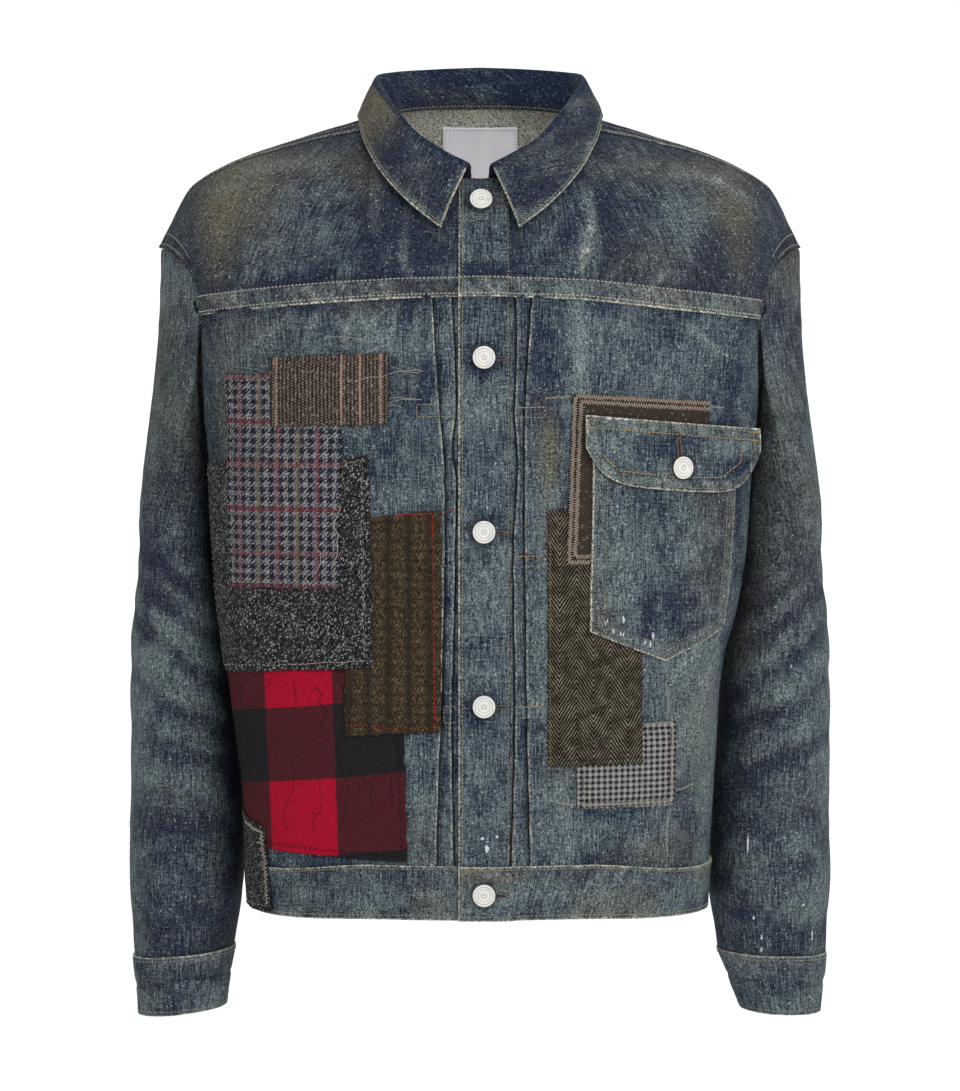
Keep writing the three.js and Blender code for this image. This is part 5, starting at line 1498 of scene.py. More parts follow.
def cuff(side):
    share = np.linspace(0, 1, 97)[:-1][None, :]
    walk = ladder(0, CUFF_TALL, 2.2)
    t = (walk / CUFF_TALL)[:, None]
    point = cuff_point(side, share, t)
    normal = grid_normals(point, True, (-side, 0, 0))
    around = share * CUFF_ROUND + 0 * t
    down = t * CUFF_TALL + 0 * share
    lift = 1.1 + 0.4 * smooth(0, 2, down) - 0.3 * bump(down - 3.2, 0.9) - 0.3 * bump(down - 44.8, 0.9)
    lift = lift + 0.5 * cloud(around, down, 16, 140 + side) + 0.25 * wander(around + down * 0.4, 4.2, 141)
    lift -= 0.9 * bump(down - 22 - 3 * wander(around, 30, 142), 2.4)
    outer = point + normal * lift[..., None]
    fade_and_shade = 0.54 + 0.26 * cloud(around, down, 20, 143 + side)
    tan = 0.1 + 0.25 * crests(cloud(around, down, 26, 144))
    wear = 0.75 * smooth(1.6, 0.3, down) + 0.7 * smooth(46.6, 47.8, down)
    wear += 0.4 * crests(wander(around, 4.2, 141)) * (smooth(8, 3, down) + smooth(41, 46, down))
    # Painted shade in the crease across the cuff
    painted_shade = 0.45 * bump(down - 22 - 3 * wander(around, 30, 142), 1.5)
    made = wall(f"cuff_band_{SIDE_NAME[side]}", outer, outer - normal * BAND, vec(fade_and_shade, tan, wear),
                vec(around, down, painted_shade), "denim", f"cuff_{SIDE_NAME[side]}", "denim", wrapped=True)
    for level in (3.2, 44.8):
        line, facing = row_at(walk, level, outer, normal)
        sewing.row("grey_thread", np.vstack([line, line[:1]]), np.vstack([facing, facing[:1]]), 3.2, 2.2, 0.4)
    return made


cuff_pieces = {side: cuff(side) for side in (RIGHT, LEFT)}

# ---------- hem band ----------

BAND_PROUD = 1.3
BAND_STEP = BAND + 0.5


def band_angles(side, z):
    outs = ladder(-16.5, 150, 2.6) if side == LEFT else ladder(-17, 150, 2.6)
    near = angle_at(side, outs[None, :], z)
    share = np.linspace(0, 1, 84)[1:]
    return np.concatenate([near, mix(near[:, -1:], 180, share)], 1)


def waistband():
    walk = ladder(0, BAND_TALL, 2.1)
    t = (walk / BAND_TALL)[:, None]
    halves = []
    for side in (RIGHT, LEFT):
        z = mix(HEM_TOP, HEM_BOTTOM, t)
        angle = band_angles(side, z)
        z = z * np.ones_like(angle)
        for _ in range(3):
            x = np.abs(body(side, angle, z)[..., 0])
            z = mix(hem_top(x), hem_bottom(x), t)
        lift = np.zeros_like(z)
        if side == LEFT:
            lift += BAND_STEP * (1 - smooth(20, 30, out_at(side, angle, z)))
        point, normal = skin(side, angle, z)
        halves.append([point, normal, lift, out_at(side, angle, z) * side])
    right, left = halves
    joined = [np.concatenate([a, b[:, ::-1][:, 1:]], 1) for a, b in zip(right, left)]
    point, normal, lift, out = joined
    walked = lengths_over(point, rows=False)
    z = point[..., 2]
    down = t * BAND_TALL + 0 * z
    rope = wander(walked + down * 0.8, 3.6, 150)
    lift = lift + BAND_PROUD - 0.35 * bump(down - 2.4, 0.9) - 0.35 * bump(down - 38.6, 0.9)
    lift = lift + 0.35 * rope * smooth(39, 33, down) * 0.5
    lift = lift + 0.4 * rope * smooth(34, 40, down) + 0.35 * rope * smooth(8, 2, down)
    lift += 0.7 * cloud(walked, down, 24, 151)
    outer = point + normal * lift[..., None]
    fade_and_shade = 0.5 + 0.34 * cloud(walked, down, 22, 152) + 0.14 * rope * (smooth(9, 2, down) + smooth(33, 40, down))
    tan = 0.1 + 0.35 * crests(cloud(walked, down, 30, 153))
    wear = 0.8 * smooth(1.5, 0.3, down) + 0.75 * smooth(40.4, 41.7, down)
    wear += 0.45 * crests(rope) * (smooth(6, 2, down) + smooth(36, 40, down))
    wear += 0.4 * crests(cloud(walked, down, 13, 154) - 0.35)
    ahead = point[..., 1] < 0
    x = point[..., 0]
    top_side = ahead & (out * 1.0 > -17) & (lift > BAND_PROUD + 2)
    wear += 0.85 * top_side * smooth(-14.9, -16.2, x)
    tan += ahead * spots(x, z, [(12, -588, 9, 8, 0.7), (-8, -586, 8, 5, 0.5), (30, -590, 9, 6, 0.4)])
    wear += ahead * spots(x, z, [(12, -586, 6, 5, 0.35), (-42, -602, 10, 4, 0.35), (-34, -604, 6, 3, 0.2)])
    ring = np.hypot(x - HEM_BUTTON[0], z - HEM_BUTTON[1])
    # Painted shade round the hem button and in the two stitch furrows
    painted_shade = ahead * 0.4 * bump(ring - 9.2, 3.0) + 0.15 * (bump(down - 2.4, 0.8) + bump(down - 38.6, 0.8))
    made = wall("hem_band", outer, outer - normal * BAND, vec(fade_and_shade, tan, wear),
                vec(walked, down, painted_shade), "denim", "waistband", "denim")
    for level in (2.4, 38.6):
        sewing.row("khaki", *row_at(walk, level, outer, normal), 3.3, 2.3, 0.42)
    for inset in (2.6, 8.4):
        column = outer.shape[1] - 1 - int(np.argmin(np.abs(x[5, ::-1][:40] + 16.5 - inset)))
        sewing.row("khaki", outer[3:-3, column], normal[3:-3, column], 3.1, 2.2, 0.42)
    return made


band_piece = waistband()

# ---------- collar ----------

COLLAR_ROLL = catmull([
    (9, -110, -41), (28, -104, -31), (48, -88, -17), (64, -62, 2), (78, -20, 23), (82, 18, 35),
    (70, 50, 41), (38, 70, 45), (0, 76, 47),
])
COLLAR_OUTER = catmull([
    (30, -132, -90), (54, -124, -71), (76, -99, -47), (91, -60, -20), (97, -12, 0), (96, 35, 4),
    (78, 72, 4), (42, 90, 4), (0, 95, 4),
])
ROLL_RADIUS = 2.6
COLLAR_FOOT = 3.2


def collar_profile(share):
    roll, outer = COLLAR_ROLL(share), COLLAR_OUTER(share)
    neck = neck_point(mix(5, 180, share ** 0.9)) + (0, 0, COLLAR_FOOT)
    flat = (outer - neck) * (1, 1, 0)
    across = unit(flat)
    drop = np.array([0, 0, ROLL_RADIUS])
    inside = roll - across * ROLL_RADIUS - drop
    outside = roll + across * ROLL_RADIUS - drop
    stand = mix(neck, inside, 0.5)
    fall = mix(outside, outer, 0.5) + across * 1.5
    low = mix(outside, outer, 0.8) + across
    return np.stack([neck, stand, inside, roll, outside, fall, low, outer])


def collar():
    shares = ladder(0, 1, 0.0125, (0.0012, 0.0032, 0.006, 0.01))[:-4]
    shares = np.r_[shares[shares < 0.985], 1.0]
    half = np.stack([collar_profile(np.array(share)) for share in shares], 1)
    keys = np.array([0, 0.14, 0.32, 0.36, 0.4, 0.7, 0.88, 1.0])
    profile = np.r_[np.linspace(0, 0.3, 13), 0.315, 0.33, 0.345, 0.36, 0.375, 0.39, 0.405,
                    np.linspace(0.43, 0.95, 22),
                    0.965, 0.978, 0.987, 0.994, 1.0]
    dense = []
    for j in range(half.shape[1]):
        curve = catmull(half[:, j])
        dense.append(curve(np.interp(profile, keys, np.linspace(0, 1, 8))))
    left = np.stack(dense, 1)
    mirrored = left * (-1, 1, 1)
    point = np.concatenate([mirrored[:, :-1], left[:, ::-1]], 1)
    normal = grid_normals(point, False, (0, 0, 1))
    along = lengths_over(point, rows=True)
    edge = along[-1:] - along
    walked = lengths_over(point, rows=False)
    total = walked[:, -1:]
    front = np.minimum(walked, total - walked)
    x = point[..., 0]
    fall = smooth(0.39, 0.42, profile)[:, None] * np.ones_like(x)
    near = np.minimum(edge, front + 60 * (1 - fall))
    lift = COLLAR / 2 + 0.6 * cloud(walked * 0.5, along, 18, 160) - 0.35 * bump(near - 3.0, 0.8) * fall
    lift += 0.3 * wander(walked[:1] + 0 * x, 4.4, 161) * smooth(8, 2, edge) * fall
    lift -= 0.5 * smooth(1.0, 0.0, near)
    outer = point + normal * lift[..., None]
    inner = point - normal * (COLLAR - lift)[..., None]
    shade = cloud(walked, along, 32, 162)
    left_side = smooth(-10, 10, x)
    fade_and_shade = 0.08 + 0.25 * shade + 0.12 * left_side * fall - 0.22 * (1 - fall) + 0.25 * smooth(10, 3, near) * fall
    fade_and_shade -= 0.15 * bump(edge - 18, 14) * fall
    depth = point[..., 1]
    tan = 0.75 * (1 - left_side) * smooth(-95, -40, depth) * (1 - smooth(-10, 70, depth)) * smooth(20, 60, -x)
    tan = fall * (tan + 0.1)
    tan += 0.15 * crests(shade)
    wear = 0.85 * smooth(1.9, 0.5, near) * fall + 0.1 * bump(profile[:, None] - 0.36, 0.012)
    wear += 0.18 * crests(wander(walked, 4.4, 161)) * smooth(6, 2, near) * fall
    # Painted shade in the edge stitch furrow and on the stand near the neck seam
    painted_shade = 0.22 * bump(near - 3.0, 0.8) * fall + 0.3 * (1 - fall) * smooth(12, 0, along)
    foot = outer[:1] + normal[:1] * 1.8
    tuck = np.vstack([foot - (0, 0, 5.6), foot - (0, 0, 3.6), foot - (0, 0, 1.4)])
    under = tuck - normal[:1] * 0.8
    paint = vec(fade_and_shade, tan, wear)
    place = vec(walked, along, painted_shade)
    paint, place = np.vstack([paint[:1]] * 3 + [paint]), np.vstack([place[:1]] * 3 + [place])
    paint[0, :, 2] = 0.5
    made = wall("collar_cloth", np.vstack([tuck, outer]), np.vstack([under, inner]), paint, place, "denim",
                "collar", "denim_dark")
    back = made.data.attributes["cloth"]
    values = np.empty(len(back.data) * 4, np.float32)
    back.data.foreach_get("color", values)
    values = values.reshape(-1, 4)
    values[:, 3] = 0
    back.data.foreach_set("color", values.ravel())

    def along_profile(levels, columns):
        """Points where the distance from the outer edge is the given one, column by column."""
        lines = []
        for j, level in zip(columns, levels):
            i = np.interp(-level, -edge[:, j], np.arange(edge.shape[0]))
            after = outer[min(int(i) + 1, len(profile) - 1), j]
            lines.append((mix(outer[int(i), j], after, i % 1), normal[int(i), j]))
        return np.array([p for p, _ in lines]), np.array([n for _, n in lines])

    columns = np.arange(4, outer.shape[1] - 4)
    line, facing = along_profile(np.full(len(columns), 3.0), columns)
    sewing.row("khaki", line, facing, 3.0, 2.1, 0.38)
    for column in (3, outer.shape[1] - 4):
        rows = np.where((profile > 0.42) & (profile < 0.965))[0]
        sewing.row("khaki", outer[rows, column], normal[rows, column], 3.0, 2.1, 0.38)
    sewing.row("khaki", tuck[1], normal[0], 3.2, 2.2, 0.4)
    return made


collar_piece = collar()

# ---------- patches ----------

# Corners as (distance out, height), in the order they are laid on each side
PATCHES = {
    "buffalo_check": (RIGHT, "red_check", "red_check", [(243, -425), (60, -425), (55.5, -577), (214, -572)]),
    "olive_tweed": (RIGHT, "olive", "olive_tweed", [(103, -314), (29.5, -305), (29.5, -476), (103, -480)]),
    "grey_tweed": (RIGHT, "grey", "grey_tweed", [(259, -273), (85, -264), (81, -426), (243, -438)]),
    "houndstooth": (RIGHT, "houndstooth", "houndstooth",
                    [(200, -202), (105.5, -202), (106, -366), (199, -368)]),
    "striped_tweed": (RIGHT, "striped", "striped_tweed", [(161, -189), (70, -186), (70, -240), (160, -242)]),
    "grey_corner": (RIGHT, "grey", "grey_tweed", [(240, -543), (169, -556), (163, -624), (235, -624)]),
    "small_check": (LEFT, "small_check", "small_check", [(74, -475), (151, -471), (150.5, -537), (74.5, -536)]),
    "herringbone": (LEFT, "herringbone", "herringbone", [(51.5, -306), (127, -301), (124, -502), (52, -503)]),
    "brown_wool": (LEFT, "brown", "brown_wool", [(71, -217), (177, -223), (170, -346), (66, -347)]),
}
LAYER = 1.35
CLEARANCE = 0.35


def distance_outside(corners, x, z):
    """How far a place lies outside a convex outline."""
    pairs = list(zip(corners, corners[1:] + corners[:1]))
    turn = np.sign(sum(a[0] * b[1] - b[0] * a[1] for a, b in pairs))
    far = -np.inf
    for (ax, az), (bx, bz) in pairs:
        length = np.hypot(bx - ax, bz - az)
        far = np.maximum(far, turn * ((x - ax) * (bz - az) - (z - az) * (bx - ax)) / length)
    return far


def cover(side, above, x, z):
    """Height of the patches that lie under a place; above is the patch being laid."""
    names = list(PATCHES)
    lower = names[:names.index(above)] if above else names
    lower = [name for name in lower if PATCHES[name][0] == side]
    total = 0
    for i, name in enumerate(lower):
        away = distance_outside(PATCHES[name][3], x, z)
        margin = 1.5 + 2.0 * (len(lower) - i)
        total += LAYER * (1 - smooth(margin, margin + 7, away))
    return total


def patch_at(name, out, z, extra=0.0):
    side = PATCHES[name][0]
    lift = front_relief(side, out, z, covered=True) + CLEARANCE + WOOL + cover(side, name, out, z)
    if name == "grey_corner":
        x = np.abs(body(side, angle_at(side, out, z), z)[..., 0])
        lift += 2.6 * smooth(5, -1, z - hem_top(x))
    return skin(side, angle_at(side, out, z), z, lift + extra)


def patch(name):
    _, material, slot, corners = PATCHES[name]
    a, b, c, d = (np.array(corner, float) for corner in corners)
    width, height = np.linalg.norm(b - a), np.linalg.norm(d - a)
    u = (ladder(0, width, 1.9, (0.4, 1.0, 1.8)) / width)[None, :]
    v = (ladder(0, height, 1.9, (0.4, 1.0, 1.8)) / height)[:, None]
    out = mix(mix(a[0], b[0], u), mix(d[0], c[0], u), v)
    z = mix(mix(a[1], b[1], u), mix(d[1], c[1], u), v)
    edge_u = np.minimum(u, 1 - u) * width
    edge_v = np.minimum(v, 1 - v) * height
    ragged = smooth(5, 0, edge_u) * (wander(v * height, 6, 170) + 0.6 * wander(v * height, 1.7, 171))
    out += 0.55 * ragged
    ragged = smooth(5, 0, edge_v) * (wander(u * width, 6, 172) + 0.6 * wander(u * width, 1.7, 173))
    z += 0.55 * ragged
    near = np.minimum(edge_u, edge_v)
    stitched = -0.55 * bump(near - 4.5, 1.7) + 0.5 * cloud(out, z, 26, 174) + 0.16 * cloud(out, z, 5, 175)
    stitched += 0.3 * smooth(6, 1, near) * wander(out + z, 4.5, 176)
    outer, normal = patch_at(name, out, z, stitched)
    inner = outer - normal * WOOL * (0.45 + 0.55 * smooth(0, 1.2, near))[..., None]
    # Painted shade at the patch's edges and in its stitch furrow
    painted_shade = 0.3 * smooth(1.3, 0, near) + 0.16 * bump(near - 4.5, 1.2)
    paint = np.zeros((*out.shape, 3))
    place = vec(out, z, painted_shade)
    made = wall(f"patch_cloth_{name}", outer, inner, paint, place, material, f"patch_{name}", slot)
    return made, width, height


patch_pieces = {name: patch(name) for name in PATCHES}


def dense(points, step=0.8):
    """A polyline sampled closely."""
    points = np.array(points, float)
    lengths = np.r_[0, np.cumsum(np.linalg.norm(np.diff(points, axis=0), axis=1))]
    count = max(int(lengths[-1] / step), 2)
    at = np.linspace(0, lengths[-1], count + 1)
    return np.stack([np.interp(at, lengths, points[:, k]) for k in range(2)], 1)


def sew_on(place_at, colour, points, pitch=3.2, length=2.2, radius=0.4, seed=1, wavy=0.0):
    line = dense(points)
    line += wavy * np.stack([wander(line[:, 1], 7, seed), wander(line[:, 0], 7, seed + 1)], 1)
    point, normal = place_at(line[:, 0], line[:, 1])
    sewing.row(colour, point, normal, pitch, length, radius, seed=seed)


def zigzag_on(place_at, colour, points, reach=2.4, pitch=2.2, radius=0.34, seed=1):
    line = dense(points, pitch / 2)
    along = unit(np.gradient(line, axis=0))
    side_step = np.stack([-along[:, 1], along[:, 0]], 1)
    swing = np.where(np.arange(len(line)) % 2 == 0, reach / 2, -reach / 2)
    swing = swing * (1 + 0.25 * np.random.default_rng(seed).uniform(-1, 1, len(line)))
    line += side_step * swing[:, None]
    point, normal = place_at(line[:, 0], line[:, 1])
    sewing.thread(colour, point, normal, radius, 0.25)


def loose_on(place_at, colour, points, radius=0.24, lift=0.4, seed=1, wavy=1.2):
    line = dense(points, 2.0)
    wobble = np.stack([wander(line[:, 1] + line[:, 0], 9, seed),
                       wander(line[:, 0] - line[:, 1], 8, seed + 1)], 1)
    line += wavy * wobble
    point, normal = place_at(line[:, 0], line[:, 1])
    sewing.thread(colour, point, normal, radius, lift)


# ---------- pocket and flap ----------

POCKET = {"top": -247, "left": 86, "right": 207, "side_bottom": -399, "tip": -424, "tip_out": 146,
          "right_low": 197}


def pocket_place(u, v):
    left = mix(POCKET["left"], POCKET["left"] - 2.5, v)
    right = mix(POCKET["right"], POCKET["right_low"], v)
    lean = 1 - np.abs(2 * u - 1)
    bottom = mix(POCKET["side_bottom"], POCKET["tip"], lean)
    middle = mix(left, right, 0.5)
    out = mix(left, right, u) + lean * v * (POCKET["tip_out"] - middle) * 0.5
    return out, mix(POCKET["top"], bottom, v)


def pocket_at(u, v, extra=0.0):
    out, z = pocket_place(u, v)
    swell = 1.6 * np.sin(np.pi * np.clip(u, 0, 1)) * np.sin(np.pi * np.clip(v, 0, 1)) ** 0.5
    lift = front_relief(LEFT, out, z, covered=True) * 0.6 + CLEARANCE + DENIM
    lift = lift + cover(LEFT, None, out, z) + swell
    edge = np.minimum(np.minimum(u, 1 - u) * POCKET_WIDE, (1 - v) * POCKET_TALL)
    rope = wander((z + out * 0.6) * 1.0, 3.8, 180)
    lift = lift + 0.5 * (1 - smooth(12, 14.5, edge)) - 0.28 * (bump(edge - 2.6, 0.9) + bump(edge - 10.8, 0.9))
    lift = lift + 0.25 * rope * (1 - smooth(9, 12, edge)) + 0.7 * cloud(out, z, 30, 181)
    lift -= 0.4 * smooth(0.8, 0, edge)
    point, normal = skin(LEFT, angle_at(LEFT, out, z), z, lift + extra)
    return point, normal, out, z, edge, rope


def pocket():
    u = (ladder(0, POCKET_WIDE, 2.4, (0.4, 1.0, 1.8, 2.7, 3.8)) / POCKET_WIDE)[None, :]
    v = (ladder(0, POCKET_TALL, 2.4, (0.4, 1.0, 1.8, 2.7, 3.8)) / POCKET_TALL)[:, None]
    outer, normal, out, z, edge, rope = pocket_at(u, v)
    band = 1 - smooth(11, 13, edge)
    fade_and_shade = 0.5 + 0.3 * cloud(out * 2.4, z * 0.4, 22, 182) + 0.1 * cloud(out, z, 40, 183)
    fade_and_shade = fade_and_shade + band * (0.18 + 0.18 * rope)
    fade_and_shade = fade_and_shade - 0.18 * bump(edge - 15, 3) + spots(out, z, [
        (104, -330, 12, 60, 0.15), (170, -330, 20, 60, 0.05), (150, -392, 40, 12, -0.12),
        (180, -270, 30, 18, -0.3),
    ])
    tan = 0.08 + band * 0.15 + spots(out, z, [(180, -320, 20, 70, 0.25), (96, -390, 14, 16, 0.3)])
    wear = smooth(2.2, 0.5, edge) + 0.35 * band * crests(rope) * (0.6 + 0.4 * cloud(out, z, 9, 184))
    # Painted shade in the two stitch furrows
    painted_shade = 0.4 * (bump(edge - 2.6, 0.9) + bump(edge - 10.8, 0.9))
    made = wall("pocket_cloth", outer, outer - normal * DENIM, vec(fade_and_shade, tan, wear),
                vec(out, z, painted_shade), "denim", "pocket", "denim")
    for inset in (2.6, 10.8):
        near, low = inset / POCKET_WIDE, 1 - inset / POCKET_TALL
        path = [(near, 0.02), (near, low), (0.5, low), (1 - near, low),
                (1 - near, 0.02)]
        line = dense([(a * POCKET_WIDE, b * POCKET_TALL) for a, b in path])
        point, facing = pocket_at(line[:, 0] / POCKET_WIDE, line[:, 1] / POCKET_TALL)[:2]
        sewing.row("grey_thread", point, facing, 2.9, 2.0, 0.36, seed=int(inset))
    return made


pocket_piece = pocket()

FLAP = {"left": 79.5, "right": 214.5, "top": -233, "drop": 11, "flat_from": 180}
FLAP_BOTTOM = through([
    (0, -258), (0.06, -272), (0.13, -281), (0.24, -287), (0.48, -291), (0.72, -293), (0.82, -292),
    (0.9, -286), (0.96, -274), (1, -262),
])


def flap_at(out, z, extra=0.0):
    """Point and normal of the flap; past flat_from it stands straight off the chest."""
    turned = np.minimum(out, FLAP["flat_from"])
    base, normal = skin(LEFT, angle_at(LEFT, turned, z), z)
    before = skin(LEFT, angle_at(LEFT, FLAP["flat_from"] - 2.0, z), z)[0]
    slope = unit(skin(LEFT, angle_at(LEFT, FLAP["flat_from"] + 0.0 * z, z), z)[0] - before)
    past = crests(out - FLAP["flat_from"]) / slope[..., 0]
    point = base + slope * past[..., None]
    u = (out - FLAP["left"]) / (FLAP["right"] - FLAP["left"])
    top = FLAP["top"] - FLAP["drop"] * u
    bottom = FLAP_BOTTOM(u)
    v = (z - top) / (bottom - top)
    edge = np.minimum(np.minimum(u, 1 - u) * FLAP_WIDE, np.minimum(z - bottom, top - z))
    rope = wander(out + (z - top) * 0.5, 3.4, 190)
    lift = CLEARANCE + DENIM * 2 + 2.2 + cover(LEFT, None, turned, z)
    lift = lift + 1.4 * np.sin(np.pi * np.clip(v, 0, 1) * 0.5)
    lift = lift + 0.6 * cloud(out, z, 30, 191) + 0.28 * rope * (1 - smooth(7, 10, edge))
    lift = lift - 0.28 * (bump(edge - 2.6, 0.9) + bump(edge - 9.4, 0.9)) - 0.4 * smooth(0.8, 0, edge)
    return point + normal * (lift + extra)[..., None], normal, edge, rope, v


def flap():
    u = (ladder(0, FLAP_WIDE, 2.3, (0.4, 1.0, 1.8, 2.8, 4.0)) / FLAP_WIDE)[None, :]
    v = ladder(0, 1, 0.045, (0.008, 0.02, 0.036, 0.056))[:, None]
    out = mix(FLAP["left"], FLAP["right"], u) + 0 * v
    z = mix(FLAP["top"] - FLAP["drop"] * u, FLAP_BOTTOM(u), v)
    outer, normal, edge, rope, _ = flap_at(out, z)
    band = 1 - smooth(8, 10, edge)
    fade_and_shade = 0.46 + 0.22 * cloud(out * 1.4, z, 20, 192) + band * (0.26 + 0.24 * rope)
    fade_and_shade = fade_and_shade + spots(out, z, [
        (112, -258, 18, 12, 0.45), (182, -257, 16, 10, 0.35), (148, -262, 9, 22, -0.35),
        (196, -276, 20, 9, -0.3), (170, -249, 30, 5, -0.2),
    ])
    tan = 0.06 + band * 0.2
    wear = 0.85 * smooth(1.7, 0.5, edge) + 0.45 * band * crests(rope)
    # Painted shade in the two stitch furrows and round the button
    painted_shade = 0.2 * (bump(edge - 2.6, 0.8) + bump(edge - 9.4, 0.8))
    ring = np.hypot(out - FLAP_BUTTON[0], z - FLAP_BUTTON[1])
    painted_shade += 0.35 * bump(ring - 9, 2.6)
    made = wall("flap_cloth", outer, outer - normal * DENIM, vec(fade_and_shade, tan, wear),
                vec(out, z, np.clip(painted_shade, 0, 1)), "denim", "pocket_flap", "denim")

    def at(a, b):
        return flap_at(a, b)[:2]

    shares = np.linspace(0.02, 0.98, 60)
    outs = mix(FLAP["left"], FLAP["right"], shares)
    tops = FLAP["top"] - FLAP["drop"] * shares
    sew_on(at, "grey_thread", np.stack([outs, tops - 2.6], 1), 2.8, 1.9, 0.36)
    sew_on(at, "golden", np.stack([outs, tops - 9.2], 1), 3.3, 2.4, 0.42, seed=3)
    lower = np.linspace(0.024, 0.976, 120)
    edge_z = FLAP_BOTTOM(lower) + 2.8
    sew_on(at, "grey_thread", np.stack([mix(FLAP["left"], FLAP["right"], lower), edge_z], 1), 2.8, 1.9,
           0.36, seed=4)
    sew_on(at, "golden", [(90, -261), (103.8, -275.3), (117.4, -277.2), (150, -281), (182, -281.5),
                          (197, -270.5),
                          (201, -253)], 3.4, 2.5, 0.42, seed=5)
    for level in (-236.6, -242.5):
        sew_on(at, "golden", [(81, level), (87.5, level - 0.4)], 1.6, 1.4, 0.5, seed=6)
        sew_on(at, "golden", [(206, level - 10.2), (212.5, level - 10.8)], 1.6, 1.4, 0.5, seed=7)
    return made


flap_piece = flap()

# ---------- stitching on the fronts, yokes and patches ----------


def on_front(side):
    return lambda out, z: front_at(side, out, z)


def on_patch(name):
    return lambda out, z: patch_at(name, out, z)


on_left, on_right = on_front(LEFT), on_front(RIGHT)

# Placket rows and the box stitches that pin the pleats
for inset in PLACKET_ROWS:
    sew_on(on_left, "khaki", [(inset, -147), (inset, -577)], 3.0, 2.1, 0.38, seed=9)
BARS = [
    (RIGHT, 18.5, 48, -225.5, -234.5), (RIGHT, 18.5, 28.5, -337.5, -348), (RIGHT, 18.5, 27.5, -456.5, -469),
    (LEFT, 26.5, 49.5, -227.5, -235), (LEFT, 26.5, 49, -341, -349), (LEFT, 26.2, 48.5, -457, -465),
]
for side, near, far, top, low in BARS:
    place = on_front(side)
    colour = "golden" if side == LEFT else "khaki"
    sew_on(place, colour, [(near, top), (far, top + 0.6)], 3.0, 2.4, 0.42, seed=int(-top))
    sew_on(place, "khaki", [(near, low), (far, low + 0.4)], 3.0, 2.2, 0.38, seed=int(-low))
    sew_on(place, "khaki", [(far, top), (far + 0.4, low)], 3.0, 2.2, 0.38, seed=int(far))


def level_line(grid, values, level):
    """Points where a value that grows with the rows reaches a level, column by column."""
    lines = []
    for j in range(grid.shape[1]):
        i = np.interp(level, values[:, j], np.arange(grid.shape[0]))
        low = int(i)
        lines.append(mix(grid[low, j], grid[min(low + 1, grid.shape[0] - 1), j], i - low))
    return np.array(lines)


for side in (RIGHT, LEFT):
    made, outer, normal, up, s, v = yoke_pieces[side]
    crest = s[0] > YOKE_SPLIT
    strip = (v - 1 + STRIP_WIDTH(s))[:, crest]
    for level in (0.012, 0.062):
        reach = s[0][crest] < (0.86 if level < 0.03 else 0.7)
        line = level_line(outer[:, crest], strip, level)[reach]
        sewing.row("khaki", line, level_line(normal[:, crest], strip, level)[reach], 3.2, 2.2, 0.4)
    for level in (1.9, 14.0):
        sewing.row("pale", level_line(outer, up, level), level_line(normal, up, level), 3.2, 2.1, 0.55)
    for share in (0.963, 0.988):
        column = int(np.argmin(np.abs(s[0] - share)))
        above = outer[:, column, 2] > -112
        sewing.row("khaki", outer[above, column], normal[above, column], 3.2, 2.2, 0.5)
    if side == LEFT:
        for inset in PLACKET_ROWS:
            across = outer[..., 0].T
            line = level_line(outer.transpose(1, 0, 2), across, inset)[1:-4]
            facing = level_line(normal.transpose(1, 0, 2), across, inset)[1:-4]
            sewing.row("khaki", line, facing, 3.0, 2.1, 0.38)

made, outer, normal, up, s, v = back_yoke_piece
for level in (1.9, 13.2):
    sewing.row("khaki", level_line(outer, up, level), level_line(normal, up, level), 3.2, 2.2, 0.42)
for row in (-5, -2):
    half = s.shape[1] // 2
    reach = np.abs(s[0]) > BACK_SPLIT
    for part in (reach & (s[0] < 0), reach & (s[0] > 0)):
        sewing.row("khaki", outer[row][part], normal[row][part], 3.2, 2.2, 0.4)

# Patch edges: turned-in edges are sewn down a few millimetres inside
EDGE_THREADS = {
    "buffalo_check": ("dark", 5.0), "grey_tweed": ("grey_thread", 5.0), "houndstooth": ("pale", 4.6),
    "striped_tweed": ("frayed", 5.0), "grey_corner": ("pale", 4.5), "small_check": ("dark", 4.5),
}
for name, (colour, inset) in EDGE_THREADS.items():
    a, b, c, d = PATCHES[name][3]
    ring = [(a[0] - inset, a[1] - inset), (b[0] + inset, b[1] - inset), (c[0] + inset, c[1] + inset),
            (d[0] - inset, d[1] + inset)]
    if a[0] < b[0]:
        ring = [(a[0] + inset, a[1] - inset), (b[0] - inset, b[1] - inset), (c[0] - inset, c[1] + inset),
                (d[0] + inset, d[1] + inset)]
    sew_on(on_patch(name), colour, [*ring, ring[0]], 5.2, 2.6, 0.3, seed=11, wavy=0.6)

olive = on_patch("olive_tweed")
sew_on(olive, "red", [(101, -313.5), (80, -311.5), (60, -309.0), (36, -307.5)], 3.4, 3.0, 0.3, seed=13,
       wavy=0.3)
sew_on(on_right, "red", [(28.4, -307), (19.5, -305.5)], 3.4, 2.9, 0.3, seed=14)
sew_on(olive, "red", [(36, -308), (35, -380), (34.5, -472)], 4.6, 3.2, 0.28, seed=15, wavy=0.3)
sew_on(olive, "red", [(101, -470.5), (60, -473.5), (33, -472)], 5.6, 2.6, 0.24, seed=16, wavy=0.4)

